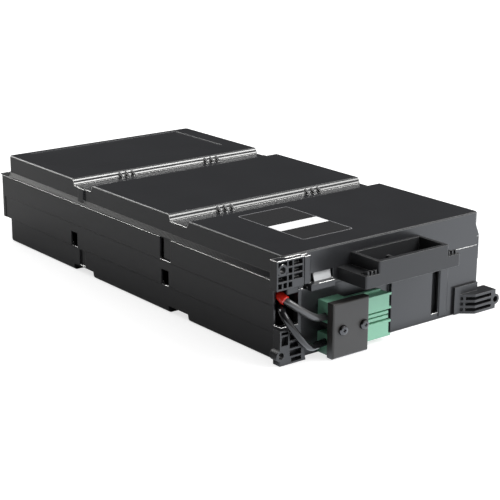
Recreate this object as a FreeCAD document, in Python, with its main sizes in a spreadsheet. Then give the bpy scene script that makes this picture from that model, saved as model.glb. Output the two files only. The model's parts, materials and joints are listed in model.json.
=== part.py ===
import FreeCAD, Part
import math
import os
import re
import Sketcher

# UPS battery cartridge: three sealed batteries in a two-piece moulded case.
# X runs to the right of the connector face, Y runs from the connector face to the
# back, Z is up. The origin is the middle of the base, on the middle foot pad.

SIZES = {
    # case outline
    "base_length": 352.0,
    "rear_lip": 10.6,
    "wall": 2.0,
    "wiring_room": 23.0,
    "rim_step": 1.0,
    "lid_step": 0.5,
    "waist_depth": 0.4,
    "rim_height": 54.5,
    "waist_height": 37.4,
    "crease_height": 19.5,
    "front_seam_height": 48.0,
    "brim_height": 58.7,
    "brim_edge": 0.8,
    "seam_gap": 0.2,
    "cut_margin": 1.0,
    # bays and the two cross channels
    "front_bay": 101.2,
    "first_gap": 24.3,
    "middle_bay": 98.4,
    "second_gap": 28.3,
    "lid_back_inset": 1.4,
    "channel_depth": 4.8,
    "channel_slope": 2.4,
    "foot_gap_height": 5.0,
    "foot_gap_slope": 1.2,
    # edge radii
    "lid_edge_radius": 1.2,
    "corner_radius": 3.0,
    "tub_edge_radius": 2.4,
    "lip_radius": 3.0,
    # gusset ribs in the channels
    "gusset_centre": 41.0,
    "gusset_pitch": 5.8,
    "gusset_thickness": 1.8,
    "gusset_run": 4.6,
    # rear lid panel
    "panel_width": 146.0,
    "panel_start": 277.5,
    "panel_length": 68.0,
    "panel_depth": 0.4,
    # snap tongues, windows and grooves in the side walls
    "notch_start": 121.3,
    "notch_length": 12.9,
    "notch_floor": 38.3,
    "tongue_start": 121.7,
    "tongue_length": 9.4,
    "tongue_inset": 1.3,
    "tongue_gap": 0.5,
    "window_floor": 19.5,
    "window_height": 11.4,
    "window_length": 9.0,
    "first_window_start": 124.4,
    "second_window_start": 245.6,
    "groove_start": 236.0,
    "groove_length": 8.0,
    "groove_floor": 6.0,
    "groove_height": 12.5,
    "groove_depth": 1.2,
    "post_start": 235.5,
    "post_length": 7.2,
    "post_proud": 1.2,
    # connector face
    "recess_inset": 16.5,
    "recess_right": 6.5,
    "recess_top": 46.0,
    "recess_depth": 2.5,
    "cable_gate_width": 13.5,
    "cable_gate_floor": 24.5,
    "cable_gate_depth": 7.7,
    "gate_lip_inset": 4.5,
    "slot_left": 45.5,
    "slot_width": 6.4,
    "slot_floor": 5.0,
    "slot_height": 30.5,
    "pilaster_left": 52.5,
    "pilaster_width": 7.5,
    "pilaster_height": 44.0,
    "pilaster_proud": 0.8,
    # label window and its hook
    "hatch_left": 65.6,
    "hatch_right": 46.8,
    "hatch_floor": 50.4,
    "hatch_height": 6.2,
    "hook_left": 68.4,
    "hook_right": 48.0,
    "hook_bottom": 45.8,
    "hook_notch_width": 3.4,
    "flag_left": 62.5,
    "flag_right": 48.0,
    "flag_height": 5.8,
    "flag_thickness": 0.9,
    "flag_lean": 1.6,
    "flag_inset": 0.2,
    # ribbed corner ears
    "ear_front": 4.0,
    "ear_back": 3.0,
    "rib": 1.2,
    "outer_cell_depth": 5.5,
    "block_overhang": 7.1,
    "block_bottom": 51.9,
    "block_row": 4.675,
    "block_column_one": 8.4,
    "block_column_two": 4.3,
    "block_column_three": 8.4,
    "pillar_gap": 0.6,
    "pillar_width": 4.6,
    "ear_hole_radius": 2.25,
    "ear_ring_radius": 3.9,
    "upper_hole_overhang": 2.9,
    "upper_hole_height": 64.7,
    "lower_hole_overhang": 3.5,
    "lower_hole_height": 7.3,
    "lower_ear_overhang": 4.5,
    "lower_ear_shoulder_inset": 3.5,
    "lower_ear_foot_inset": 17.1,
    "lower_ear_top": 24.3,
    "lower_ear_step": 15.0,
    "lower_ear_elbow_inset": 12.5,
    "lower_ear_waist_inset": 14.5,
    "lower_ear_bend": 11.0,
    "ear_bottom": 0.4,
    # dog-leg ear at the right
    "leg_root_inset": 20.0,
    "leg_elbow_inset": 9.0,
    "leg_front": 8.9,
    "leg_top": 14.6,
    "leg_hole_overhang": 11.8,
    "leg_hole_height": 7.1,
    "leg_heel_overhang": 3.7,
    "leg_web": 1.6,
    "leg_cross_rib_step": 5.0,
    "leg_pad_step": 2.8,
    "leg_pad_top": 20.5,
    "leg_pad_thickness": 2.0,
    "leg_pad_radius": 5.0,
    # pull handle
    "handle_reach": 27.5,
    "handle_upper_width": 63.3,
    "handle_lower_width": 85.6,
    "handle_step_height": 56.6,
    "handle_top": 64.8,
    "handle_fascia": 3.0,
    "handle_side": 2.6,
    "handle_back": 2.0,
    "handle_floor": 2.0,
    "handle_web": 2.4,
    "handle_web_height": 7.0,
    "handle_rib": 1.2,
    "handle_rib_pitch": 3.2,
    "handle_rib_height": 2.6,
    "handle_rib_length": 6.0,
    # batteries and what lies on them
    "battery_length": 151.0,
    "battery_depth": 94.0,
    "battery_height": 65.0,
    "battery_right_gap": 1.0,
    "battery_front_gap": 0.5,
    "battery_floor_gap": 0.2,
    "battery_lid_depth": 12.0,
    "battery_lid_step": 0.8,
    "foam_inset": 8.0,
    "foam_thickness": 3.0,
    "foam_gap": 0.1,
    "tab_width": 6.3,
    "tab_thickness": 0.8,
    "tab_length": 6.0,
    "tab_end_inset": 8.0,
    "tab_height": 46.0,
    # leads and their push-on connectors
    "lead_diameter": 5.0,
    "receptacle_width": 7.4,
    "receptacle_height": 2.6,
    "receptacle_length": 6.6,
    "receptacle_gap": 0.4,
    "receptacle_play": 0.05,
    "crimp_width": 3.8,
    "crimp_length": 5.8,
    "lead_sides": 16,
    "lead_bend": 12.0,
    "sleeve_wall": 0.7,
    "sleeve_play": 0.15,
    "sleeve_reach": 9.0,
    # two-pole plug housings
    "plug_front": 10.0,
    "plug_cable_end": 57.0,
    "plug_shoulder": 40.0,
    "plug_mating_end": 5.0,
    "lower_plug_floor": 3.5,
    "lower_plug_top": 14.8,
    "plug_flare": 2.9,
    "plug_pair_height": 18.7,
    "plug_web_front": 6.5,
    "plug_web_left": 28.0,
    "plug_rib_inset": 0.5,
    "plug_rib_low": 1.3,
    "plug_rib_high": 3.4,
    "plug_socket_wall": 1.8,
    "plug_socket_depth": 17.0,
    "plug_tab": 2.0,
    "plug_tab_height": 1.6,
    "plug_rail": 1.4,
    "lead_line_depth": 5.0,
    "lower_lead_height": 9.3,
    "upper_lead_height": 26.7,
    "lead_clearance": 0.1,
    "contact_start": 46.0,
    "contact_barrel": 10.0,
    "contact_end": 11.0,
    "contact_width": 4.2,
    "contact_thickness": 1.4,
    # bracket over the cable ends
    "bracket_left": 59.5,
    "bracket_right": 28.5,
    "bracket_bottom": 0.5,
    "bracket_top": 38.3,
    "bracket_front": 16.0,
    "bracket_skin": 2.0,
    "bracket_edge_radius": 1.2,
    "screw_left": 51.5,
    "screw_right": 33.0,
    "screw_height": 19.5,
    "screw_head_radius": 3.5,
    "screw_head_height": 2.2,
    "screw_radius": 1.4,
    "screw_play": 0.1,
    "cross_length": 3.6,
    "cross_width": 0.9,
    "cross_depth": 1.2,
    "bracket_post_radius": 3.0,
    # label on the front lid
    "label_left": 55.0,
    "label_right": 11.0,
    "label_start": 20.5,
    "label_length": 70.5,
    "label_thickness": 0.2,
}

doc = FreeCAD.newDocument("BatteryCartridge")
sheet = doc.addObject("Spreadsheet::Sheet", "Sizes")
for row, (alias, number) in enumerate(SIZES.items(), 1):
    sheet.set(f"A{row}", alias)
    sheet.set(f"B{row}", str(number))
    sheet.setAlias(f"B{row}", alias)
doc.recompute()


# Places that follow from the sizes above, so that they keep their distance from the
# case's sides when its width changes.
DERIVED = {
    "case_half": "(2 * wall + battery_right_gap + battery_length + wiring_room) / 2",
    "block_left": "case_half + block_overhang",
    "upper_hole_left": "case_half + upper_hole_overhang",
    "lower_hole_left": "case_half + lower_hole_overhang",
    "lower_ear_left": "case_half + lower_ear_overhang",
    "lower_ear_shoulder": "case_half - lower_ear_shoulder_inset",
    "lower_ear_right": "case_half - lower_ear_foot_inset",
    "lower_ear_elbow": "case_half - lower_ear_elbow_inset",
    "lower_ear_waist": "case_half - lower_ear_waist_inset",
    "leg_root": "case_half - leg_root_inset",
    "leg_elbow": "case_half - leg_elbow_inset",
    "leg_hole": "case_half + leg_hole_overhang",
    "leg_heel": "case_half + leg_heel_overhang",
    "leg_cross_rib": "leg_root + leg_cross_rib_step",
    "leg_pad_left": "leg_root - leg_pad_step",
    "recess_left": "case_half - recess_inset",
    "cable_gate_right": "case_half - cable_gate_width",
    "gate_lip_left": "case_half - gate_lip_inset",
    "screw_length": "bracket_front + recess_depth + wall",
}


def formula(text):
    """Name the sheet in front of every alias, and write derived words out in full."""
    def named(match):
        word = match.group()
        if word in DERIVED:
            return f"({formula(DERIVED[word])})"
        return f"Sizes.{word}" if word in SIZES else word
    return re.sub(r"[a-z_]+", named, str(text))


def value(text):
    """The number that an expression on the sheet's aliases gives."""
    return float(sheet.evalExpression(formula(text)))


# Planes and stations shared by the pieces, as expressions. The case is as wide and
# as high as its batteries, their foam and the wiring channel need.
TUB = "case_half"
RIM = f"({TUB} + rim_step)"
LID = f"({TUB} - lid_step)"
BATTERY_FLOOR = "(wall + battery_floor_gap)"
BATTERY_TOP = f"({BATTERY_FLOOR} + battery_height)"
UNDER_LID = f"({BATTERY_TOP} + foam_thickness + foam_gap)"
TOP = f"({UNDER_LID} + wall)"
FRONT = "(-base_length / 2)"
BACK = "(base_length / 2)"
REAR = f"({BACK} + rear_lip)"
GAP_ONE = f"({FRONT} + front_bay)"
MIDDLE = f"({GAP_ONE} + first_gap)"
GAP_TWO = f"({MIDDLE} + middle_bay)"
LAST = f"({GAP_TWO} + second_gap)"
LID_BACK = f"({BACK} - lid_back_inset)"
CHANNEL_FLOOR = f"({TOP} - channel_depth)"
FRONT_WALL = "(recess_depth + wall)"
RECESS = f"({FRONT} + recess_depth)"
EAR_FRONT = f"({FRONT} - ear_front)"
EAR_BACK = f"({FRONT} + ear_back)"
PLUG_FRONT = f"({FRONT} - plug_front)"
SUB_PARTS = []


def body(label, exported=True):
    """A new PartDesign body, which becomes one file unless it is trimmed first."""
    item = doc.addObject("PartDesign::Body", label)
    item.Label = label
    if exported:
        SUB_PARTS.append(item)
    return item


def origin_feature(owner, role):
    """One of a body's own origin planes or axes."""
    return next(item for item in owner.Origin.OriginFeatures if item.Role == role)


def sketch(owner, name, plane, station, loops):
    """Closed loops on a body's own plane, each point or circle bound to the sheet."""
    item = owner.newObject("Sketcher::SketchObject", name)
    item.AttachmentSupport = [(origin_feature(owner, f"{plane}_Plane"), "")]
    item.MapMode = "FlatFace"
    sign = "-" if plane == "XZ" else ""
    item.setExpression(".AttachmentOffset.Base.z", formula(f"{sign}({station})"))
    for loop in loops:
        if loop[0] == "circle":
            add_circle(item, *loop[1:])
        else:
            add_polygon(item, loop)
    return item


def bind(item, constraint, text):
    """Add one dimension to a sketch and tie it to its expression."""
    index = item.addConstraint(constraint)
    item.setExpression(f"Constraints[{index}]", formula(text))


def add_circle(item, across, up, radius):
    """A circle whose centre and radius follow expressions."""
    centre = FreeCAD.Vector(value(across), value(up), 0)
    edge = item.addGeometry(Part.Circle(centre, FreeCAD.Vector(0, 0, 1), value(radius)))
    bind(item, Sketcher.Constraint("DistanceX", -1, 1, edge, 3, value(across)), across)
    bind(item, Sketcher.Constraint("DistanceY", -1, 1, edge, 3, value(up)), up)
    bind(item, Sketcher.Constraint("Radius", edge, value(radius)), radius)


def add_polygon(item, points):
    """A closed polygon whose corners follow expressions."""
    places = [FreeCAD.Vector(value(across), value(up), 0) for across, up in points]
    edges = []
    for place, following in zip(places, places[1:] + places[:1]):
        edges.append(item.addGeometry(Part.LineSegment(place, following)))
    for edge, following in zip(edges, edges[1:] + edges[:1]):
        item.addConstraint(Sketcher.Constraint("Coincident", edge, 2, following, 1))
    for edge, place, (across, up) in zip(edges, places, points):
        bind(item, Sketcher.Constraint("DistanceX", -1, 1, edge, 1, place.x), across)
        bind(item, Sketcher.Constraint("DistanceY", -1, 1, edge, 1, place.y), up)


def rectangle(left, low, right, high):
    """The corners of a rectangle, in order."""
    return [(left, low), (right, low), (right, high), (left, high)]


def prism(owner, name, plane, loops, low, high, cut=False):
    """Pad or pocket loops between two stations along the plane's normal axis."""
    backwards = plane == "XZ"
    station = low if backwards == cut else high
    outline = sketch(owner, f"{name}_outline", plane, station, loops)
    kind = "PartDesign::Pocket" if cut else "PartDesign::Pad"
    feature = owner.newObject(kind, name)
    feature.Profile = outline
    feature.setExpression("Length", formula(f"({high}) - ({low})"))
    outline.Visibility = False
    return feature


def cut(owner, name, plane, loops, low, high):
    """Pocket loops between two stations, past the faces they open."""
    return prism(owner, name, plane, loops, low, high, cut=True)


def row_along_x(owner, name, original, pitch, count):
    """Repeat a feature along X."""
    pattern = owner.newObject("PartDesign::LinearPattern", name)
    pattern.Originals = [original]
    pattern.Direction = (origin_feature(owner, "X_Axis"), [""])
    pattern.setExpression("Length", formula(f"({pitch}) * {count - 1}"))
    pattern.Occurrences = count
    owner.Tip = pattern
    return pattern


def lies(edge, **places):
    """Whether every point of an edge is at the given places, as expressions."""
    box = edge.BoundBox
    spans = {"x": (box.XMin, box.XMax), "y": (box.YMin, box.YMax), "z": (box.ZMin, box.ZMax)}
    tolerance = 1e-4
    for axis, place in places.items():
        low, high = spans[axis]
        if abs(low - value(place)) > tolerance or abs(high - value(place)) > tolerance:
            return False
    return True


def round_edges(owner, name, radius, chosen):
    """Fillet the edges of a body's tip that a test picks."""
    doc.recompute()
    tip = owner.Tip
    names = [f"Edge{n}" for n, edge in enumerate(tip.Shape.Edges, 1) if chosen(edge)]
    fillet = owner.newObject("PartDesign::Fillet", name)
    fillet.Base = (tip, names)
    fillet.setExpression("Radius", formula(radius))
    return fillet


def cells(columns, rows, skip=()):
    """Rectangles between ribs: columns and rows are lists of rib centre lines."""
    half = "rib / 2"
    found = []
    for column, (left, right) in enumerate(zip(columns, columns[1:])):
        for line, (low, high) in enumerate(zip(rows, rows[1:])):
            if (column, line) not in skip:
                found.append(rectangle(f"{left} + {half}", f"{low} + {half}",
                                       f"{right} - {half}", f"{high} - {half}"))
    return found


def lower_tray():
    """The moulded tub with its bays, connector recess and side openings."""
    tray = body("lower_tray")
    tub, rim = TUB, RIM
    right = [(tub, "0"), (tub, "crease_height"), (rim, "crease_height"), (rim, "rim_height")]
    left = [(f"-{across}", up) for across, up in reversed(right)]
    prism(tray, "tray_block", "XZ", [right + left], FRONT, REAR)
    over = f"{rim} + cut_margin"
    bevel = "0.29 * lip_radius"
    cut(tray, "rear_undercut", "YZ",
        [[(BACK, "-cut_margin"), (f"{REAR} + cut_margin", "-cut_margin"),
          (f"{REAR} + cut_margin", "crease_height + lip_radius"),
          (REAR, "crease_height + lip_radius"),
          (f"{REAR} - {bevel}", f"crease_height + {bevel}"),
          (f"{REAR} - lip_radius", "crease_height"), (BACK, "crease_height")]],
        f"-({over})", over)
    foot_gaps = []
    for start, end in ((GAP_ONE, MIDDLE), (GAP_TWO, LAST)):
        foot_gaps.append([(start, "-cut_margin"), (start, "0"),
                          (f"{start} + foot_gap_slope", "foot_gap_height"),
                          (end, "foot_gap_height"), (end, "-cut_margin")])
    cut(tray, "foot_gaps", "YZ", foot_gaps, f"-({over})", over)
    round_edges(tray, "rear_corners", "corner_radius", lambda edge: any(
        lies(edge, y=face, x=place) for face, across in ((REAR, rim), (BACK, tub))
        for place in (across, f"-{across}")))
    round_edges(tray, "tub_edges", "tub_edge_radius", lambda edge: lies(edge, z="0") and (
        lies(edge, x=tub) or lies(edge, x=f"-{tub}") or lies(edge, y=BACK)))
    waist = [rectangle(f"{FRONT} - cut_margin", "crease_height - cut_margin",
                       f"{REAR} - 2 * corner_radius", "waist_height")]
    cut(tray, "left_waist", "YZ", waist, f"-({over})", f"-({rim} - waist_depth)")
    cut(tray, "right_waist", "YZ", waist, f"{rim} - waist_depth", over)

    bump = "foot_gap_height + wall"
    floor = [(f"{FRONT} + {FRONT_WALL}", "wall")]
    for start, end in ((GAP_ONE, MIDDLE), (GAP_TWO, LAST)):
        floor += [(f"{start} - wall", "wall"), (f"{start} - wall", bump),
                  (f"{end} + wall", bump), (f"{end} + wall", "wall")]
    ledge = "crease_height + wall"
    top = "rim_height + cut_margin"
    floor += [(f"{BACK} - wall", "wall"), (f"{BACK} - wall", ledge), (f"{REAR} - wall", ledge),
              (f"{REAR} - wall", top), (f"{FRONT} + {FRONT_WALL}", top)]
    cut(tray, "cavity", "YZ", [floor], f"-({tub} - wall)", f"{tub} - wall")
    cut(tray, "upper_cavity", "YZ",
        [rectangle(f"{FRONT} + {FRONT_WALL}", ledge, f"{REAR} - wall", top)],
        f"-({rim} - wall)", f"{rim} - wall")
    cut(tray, "front_wall_relief", "XZ",
        [rectangle("recess_right + wall", "wall", f"{tub} - wall", "rim_height")],
        f"{FRONT} + wall", f"{FRONT} + {FRONT_WALL} + cut_margin")
    cut(tray, "connector_recess", "XZ",
        [rectangle("-recess_left", "-cut_margin", "recess_right", "recess_top")],
        f"{FRONT} - cut_margin", RECESS)
    cut(tray, "front_seam", "XZ",
        [rectangle(f"-({rim} - wall)", "front_seam_height", f"{rim} - wall", top)],
        f"{FRONT} - cut_margin", f"{FRONT} + {FRONT_WALL} + cut_margin")
    cut(tray, "cable_gate", "XZ",
        [rectangle(f"-({over})", "cable_gate_floor", "-cable_gate_right", top)],
        f"{FRONT} - cut_margin", f"{FRONT} + cable_gate_depth")
    cut(tray, "vent_slot", "XZ",
        [rectangle("slot_left", "slot_floor", "slot_left + slot_width",
                   "slot_floor + slot_height")],
        f"{FRONT} - cut_margin", f"{FRONT} + wall + cut_margin")
    prism(tray, "pilaster", "XZ",
          [rectangle("pilaster_left", "wall", "pilaster_left + pilaster_width",
                     "wall + pilaster_height")],
          f"{FRONT} - pilaster_proud", f"{FRONT} + wall / 2")
    openings = [rectangle(f"{FRONT} + notch_start", "notch_floor",
                          f"{FRONT} + notch_start + notch_length", top)]
    for start in ("first_window_start", "second_window_start"):
        openings.append(rectangle(f"{FRONT} + {start}", "window_floor",
                                  f"{FRONT} + {start} + window_length",
                                  "window_floor + window_height"))
    cut(tray, "side_openings", "YZ", openings, f"-({over})", over)
    groove = [rectangle(f"{FRONT} + groove_start", "groove_floor",
                        f"{FRONT} + groove_start + groove_length",
                        "groove_floor + groove_height")]
    cut(tray, "left_groove", "YZ", groove, f"-({over})", f"-({tub} - groove_depth)")
    cut(tray, "right_groove", "YZ", groove, f"{tub} - groove_depth", over)

    pilots = [("circle", f"-{place}", "screw_height", "screw_radius + screw_play")
              for place in ("screw_left", "screw_right")]
    cut(tray, "screw_pilots", "XZ", pilots, f"{RECESS} - cut_margin",
        f"{RECESS} + wall + cut_margin")
    cut(tray, "hook_notch_foot", "XZ", [hook_notch()], f"{FRONT} - cut_margin",
        f"{FRONT} + {FRONT_WALL} + cut_margin")
    return tray


def hook_notch():
    """The slot beside the hook, which crosses the seam between cover and tray."""
    return rectangle("-hook_left - hook_notch_width", "hook_bottom", "-hook_left",
                     "hatch_floor")


def trimmed(label, whole, tray):
    """An ear less what the tray already fills, so that the two meet face to face."""
    item = join("Part::Cut", label, whole, tray)
    item.Label = label
    SUB_PARTS.append(item)
    return item


def corner_ear(tray):
    """The ribbed ear below the cable gate, with its M4 clearance hole."""
    ear = body("whole_corner_ear", exported=False)
    outline = [("-lower_ear_left", "ear_bottom"), ("-lower_ear_right", "ear_bottom"),
               ("-lower_ear_waist", "lower_ear_bend"), ("-lower_ear_elbow", "lower_ear_step"),
               ("-lower_ear_shoulder", "lower_ear_top"), ("-lower_ear_left", "lower_ear_top")]
    prism(ear, "ear_plate", "XZ", [outline], EAR_FRONT, EAR_BACK)
    left = "-lower_ear_left + rib"
    spine = "-lower_ear_shoulder"
    outer = [
        rectangle(left, "lower_ear_top - 2.6 * rib", f"{spine} - rib", "lower_ear_top - rib"),
        rectangle(left, "lower_ear_step - rib", f"{spine} - rib", "lower_ear_top - 3.6 * rib"),
    ]
    cut(ear, "ear_outer_cells", "XZ", outer, f"{EAR_FRONT} - cut_margin",
        f"{EAR_FRONT} + outer_cell_depth")
    inner = [
        [(spine, "lower_ear_step + rib"), ("-lower_ear_elbow - 2 * rib", "lower_ear_step + rib"),
         (spine, "lower_ear_top - 2 * rib")],
        rectangle(spine, "lower_ear_bend", "-lower_ear_waist - 3 * rib", "lower_ear_step"),
        rectangle(spine, "ear_bottom + 4.4 * rib", "-lower_ear_waist - rib",
                  "lower_ear_bend - rib"),
        rectangle(f"{spine} + rib", "ear_bottom + rib", "-lower_ear_waist - rib",
                  "ear_bottom + 3.4 * rib"),
    ]
    cut(ear, "ear_inner_cells", "XZ", inner, f"{EAR_FRONT} - cut_margin", FRONT)
    ear_ring(ear, "lower_left", "-lower_hole_left", "lower_hole_height", EAR_FRONT)
    return trimmed("corner_ear", ear, tray)


def ear_ring(owner, name, across, up, front):
    """The ring boss of an ear and the clearance hole through it."""
    prism(owner, f"{name}_ring", "XZ", [("circle", across, up, "ear_ring_radius")],
          front, EAR_BACK)
    cut(owner, f"{name}_hole", "XZ", [("circle", across, up, "ear_hole_radius")],
        f"{front} - cut_margin", f"{EAR_BACK} + cut_margin")


def leg_ear(tray):
    """The ribbed dog-leg ear that steps out from the right end of the connector face."""
    ear = body("whole_leg_ear", exported=False)
    leg_front = f"({FRONT} - leg_front)"
    plan = [("leg_root", f"{FRONT} + wall / 2"), ("leg_root", FRONT), ("leg_elbow", leg_front),
            ("leg_hole", leg_front), ("leg_hole", EAR_BACK), ("leg_heel", EAR_BACK),
            (f"{RIM} - wall / 2", EAR_BACK),
            (f"{RIM} - wall / 2", f"{FRONT} + wall / 2")]
    prism(ear, "leg_block", "XY", [plan], "ear_bottom", "leg_top")
    bar = "((leg_top - ear_bottom - 3 * rib * 2) / 4)"
    slots = []
    for number in range(3):
        low = f"ear_bottom + {bar} + {number} * ({bar} + 2 * rib)"
        for left, right in (("leg_root + rib", "leg_cross_rib - rib / 2"),
                            ("leg_cross_rib + rib / 2", "leg_hole - ear_ring_radius - rib / 2")):
            slots.append(rectangle(left, low, right, f"{low} + 2 * rib"))
    cut(ear, "leg_slots", "XZ", slots, f"{leg_front} - cut_margin", f"{FRONT} - leg_web / 2")
    prism(ear, "leg_pad", "XZ",
          [rectangle("leg_pad_left", "ear_bottom", TUB, "leg_pad_top")],
          f"{FRONT} - leg_pad_thickness", f"{FRONT} + wall / 2")
    ear_ring(ear, "right", "leg_hole", "leg_hole_height", leg_front)
    return trimmed("leg_ear", ear, tray)


def upper_cover():
    """The moulded cover: three raised lids, two channels with gussets, front wall."""
    cover = body("upper_cover")
    lid, rim = LID, RIM
    right = [(rim, "rim_height"), (rim, "rim_height + brim_edge"), (lid, "brim_height"),
             (lid, TOP)]
    left = [(f"-{across}", up) for across, up in reversed(right)]
    prism(cover, "cover_block", "XZ", [right + left], FRONT, LID_BACK)
    prism(cover, "rear_shelf", "YZ",
          [[(f"{LID_BACK} - wall", "rim_height"), (REAR, "rim_height"),
            (REAR, "rim_height + brim_edge"), (LID_BACK, "brim_height"),
            (f"{LID_BACK} - wall", "brim_height")]], f"-({rim})", rim)
    over = f"{rim} + cut_margin"
    channels = []
    for start, end in ((GAP_ONE, MIDDLE), (GAP_TWO, LAST)):
        channels.append([(start, f"{TOP} + cut_margin"), (start, TOP),
                         (f"{start} + channel_slope", CHANNEL_FLOOR),
                         (f"{end} - channel_slope", CHANNEL_FLOOR), (end, TOP),
                         (end, f"{TOP} + cut_margin")])
    cut(cover, "cross_channels", "YZ", channels, f"-({over})", over)
    round_edges(cover, "lid_corners", "corner_radius", lambda edge: (
        lies(edge, x=lid) or lies(edge, x=f"-{lid}")) and (
        lies(edge, y=LID_BACK) or lies(edge, y=FRONT)))
    round_edges(cover, "lid_edges", "lid_edge_radius",
                lambda edge: lies(edge, z=TOP))

    under_lid = UNDER_LID
    under_channel = f"{CHANNEL_FLOOR} - wall"
    below = "rim_height - cut_margin"
    roof = [(f"{FRONT} + wall", below), (f"{FRONT} + wall", under_lid)]
    for start, end in ((GAP_ONE, MIDDLE), (GAP_TWO, LAST)):
        roof += [(f"{start} - wall", under_lid), (f"{start} - wall", under_channel),
                 (f"{end} + wall", under_channel), (f"{end} + wall", under_lid)]
    roof += [(f"{LID_BACK} - wall", under_lid), (f"{LID_BACK} - wall", "brim_height - wall"),
             (f"{REAR} - wall", "rim_height + seam_gap"), (f"{REAR} - wall", below)]
    cut(cover, "cavity", "YZ", [roof], f"-({lid} - wall)", f"{lid} - wall")

    inner_rim = f"{RIM} - wall - seam_gap"
    skirt = [rectangle(f"-cable_gate_right", "front_seam_height", inner_rim,
                       "rim_height + wall"),
             rectangle("-gate_lip_left", "recess_top", f"-cable_gate_right - seam_gap",
                       "rim_height + wall")]
    prism(cover, "front_skirt", "XZ", skirt[:1], FRONT, f"{FRONT} + wall")
    prism(cover, "gate_lip", "XZ", skirt[1:], FRONT, f"{FRONT} + wall")

    for side in ("", "-"):
        name = "left" if side else "right"
        centre = f"{side}gusset_centre"
        webs = []
        for start, end in ((GAP_ONE, MIDDLE), (GAP_TWO, LAST)):
            webs.append([(f"{start} - wall / 2", f"{TOP} - lid_edge_radius"),
                         (start, f"{TOP} - lid_edge_radius / 2"),
                         (f"{start} + channel_slope + gusset_run", CHANNEL_FLOOR),
                         (f"{start} - wall / 2", CHANNEL_FLOOR)])
            webs.append([(f"{end} + wall / 2", f"{TOP} - lid_edge_radius"),
                         (end, f"{TOP} - lid_edge_radius / 2"),
                         (f"{end} - channel_slope - gusset_run", CHANNEL_FLOOR),
                         (f"{end} + wall / 2", CHANNEL_FLOOR)])
        first = f"{centre} - gusset_pitch - gusset_thickness / 2"
        web = prism(cover, f"{name}_gusset", "YZ", webs, first, f"{first} + gusset_thickness")
        row_along_x(cover, f"{name}_gussets", web, "gusset_pitch", 3)

    panel_front = f"{FRONT} + panel_start"
    cut(cover, "rear_panel", "XY",
        [rectangle("-panel_width / 2", panel_front, "panel_width / 2",
                   f"{panel_front} + panel_length")],
        f"{TOP} - panel_depth", f"{TOP} + cut_margin")
    tongue = [rectangle(f"{FRONT} + tongue_start", "notch_floor + tongue_gap",
                        f"{FRONT} + tongue_start + tongue_length", "rim_height + wall")]
    post = [rectangle(f"{FRONT} + post_start", "brim_height - wall",
                      f"{FRONT} + post_start + post_length", CHANNEL_FLOOR)]
    out = f"{rim} - tongue_inset"
    for name, low, high in (("left", f"-({out})", f"-({out} - wall)"),
                            ("right", f"{out} - wall", out)):
        prism(cover, f"{name}_tongue", "YZ", tongue, low, high)
    for name, low, high in (("left", f"-({lid} + post_proud)", f"-({lid} - wall / 2)"),
                            ("right", f"{lid} - wall / 2", f"{lid} + post_proud")):
        prism(cover, f"{name}_post", "YZ", post, low, high)

    cut(cover, "hatch", "XZ",
        [rectangle("-hatch_left", "hatch_floor", "-hatch_right", "hatch_floor + hatch_height")],
        f"{FRONT} - cut_margin", f"{FRONT} + wall + cut_margin")
    cut(cover, "hook_notch", "XZ", [hook_notch()], f"{FRONT} - cut_margin",
        f"{FRONT} + wall + cut_margin")
    lap = "front_seam_height + seam_gap"
    prism(cover, "hook", "YZ",
          [[(EAR_FRONT, "hook_bottom"), (f"{FRONT} - seam_gap", "hook_bottom"),
            (f"{FRONT} - seam_gap", lap), (f"{FRONT} + wall / 2", lap),
            (f"{FRONT} + wall / 2", "hatch_floor"), (EAR_FRONT, "hatch_floor")]],
          "-hook_left", "-hook_right")
    lattice_block(cover)
    return cover


def lattice_block(cover):
    """The ribbed flange at the cover's left front corner, and the pillar beside it."""
    top = "(block_bottom + 4 * block_row)"
    ends = ["(-block_left)", "(-block_left + block_column_one)",
            "(-block_left + block_column_one + block_column_two)",
            "(-block_left + block_column_one + block_column_two + block_column_three)"]
    half = "rib / 2"
    prism(cover, "block_plate", "XZ",
          [rectangle(f"{ends[0]} - {half}", f"block_bottom - {half}", f"{ends[3]} + {half}",
                     f"{top} + {half}")], EAR_FRONT, EAR_BACK)
    rows = [f"(block_bottom + {number} * block_row)" for number in range(5)]
    outer = cells(ends[:2], rows, skip=((0, 0),))
    middle = "(-block_left + block_column_one / 2)"
    outer += cells([ends[0], middle, ends[1]], rows[:2])
    cut(cover, "block_outer_cells", "XZ", outer, f"{EAR_FRONT} - cut_margin",
        f"{EAR_FRONT} + outer_cell_depth")
    cut(cover, "block_inner_cells", "XZ", cells(ends[1:], rows, skip=((1, 0),)),
        f"{EAR_FRONT} - cut_margin", FRONT)
    pillar = f"{ends[3]} + {half} + pillar_gap"
    prism(cover, "pillar", "XZ",
          [rectangle(pillar, "block_bottom", f"{pillar} + pillar_width", top)],
          EAR_FRONT, f"{FRONT} + wall / 2")
    ear_ring(cover, "upper_left", "-upper_hole_left", "upper_hole_height", EAR_FRONT)


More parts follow.
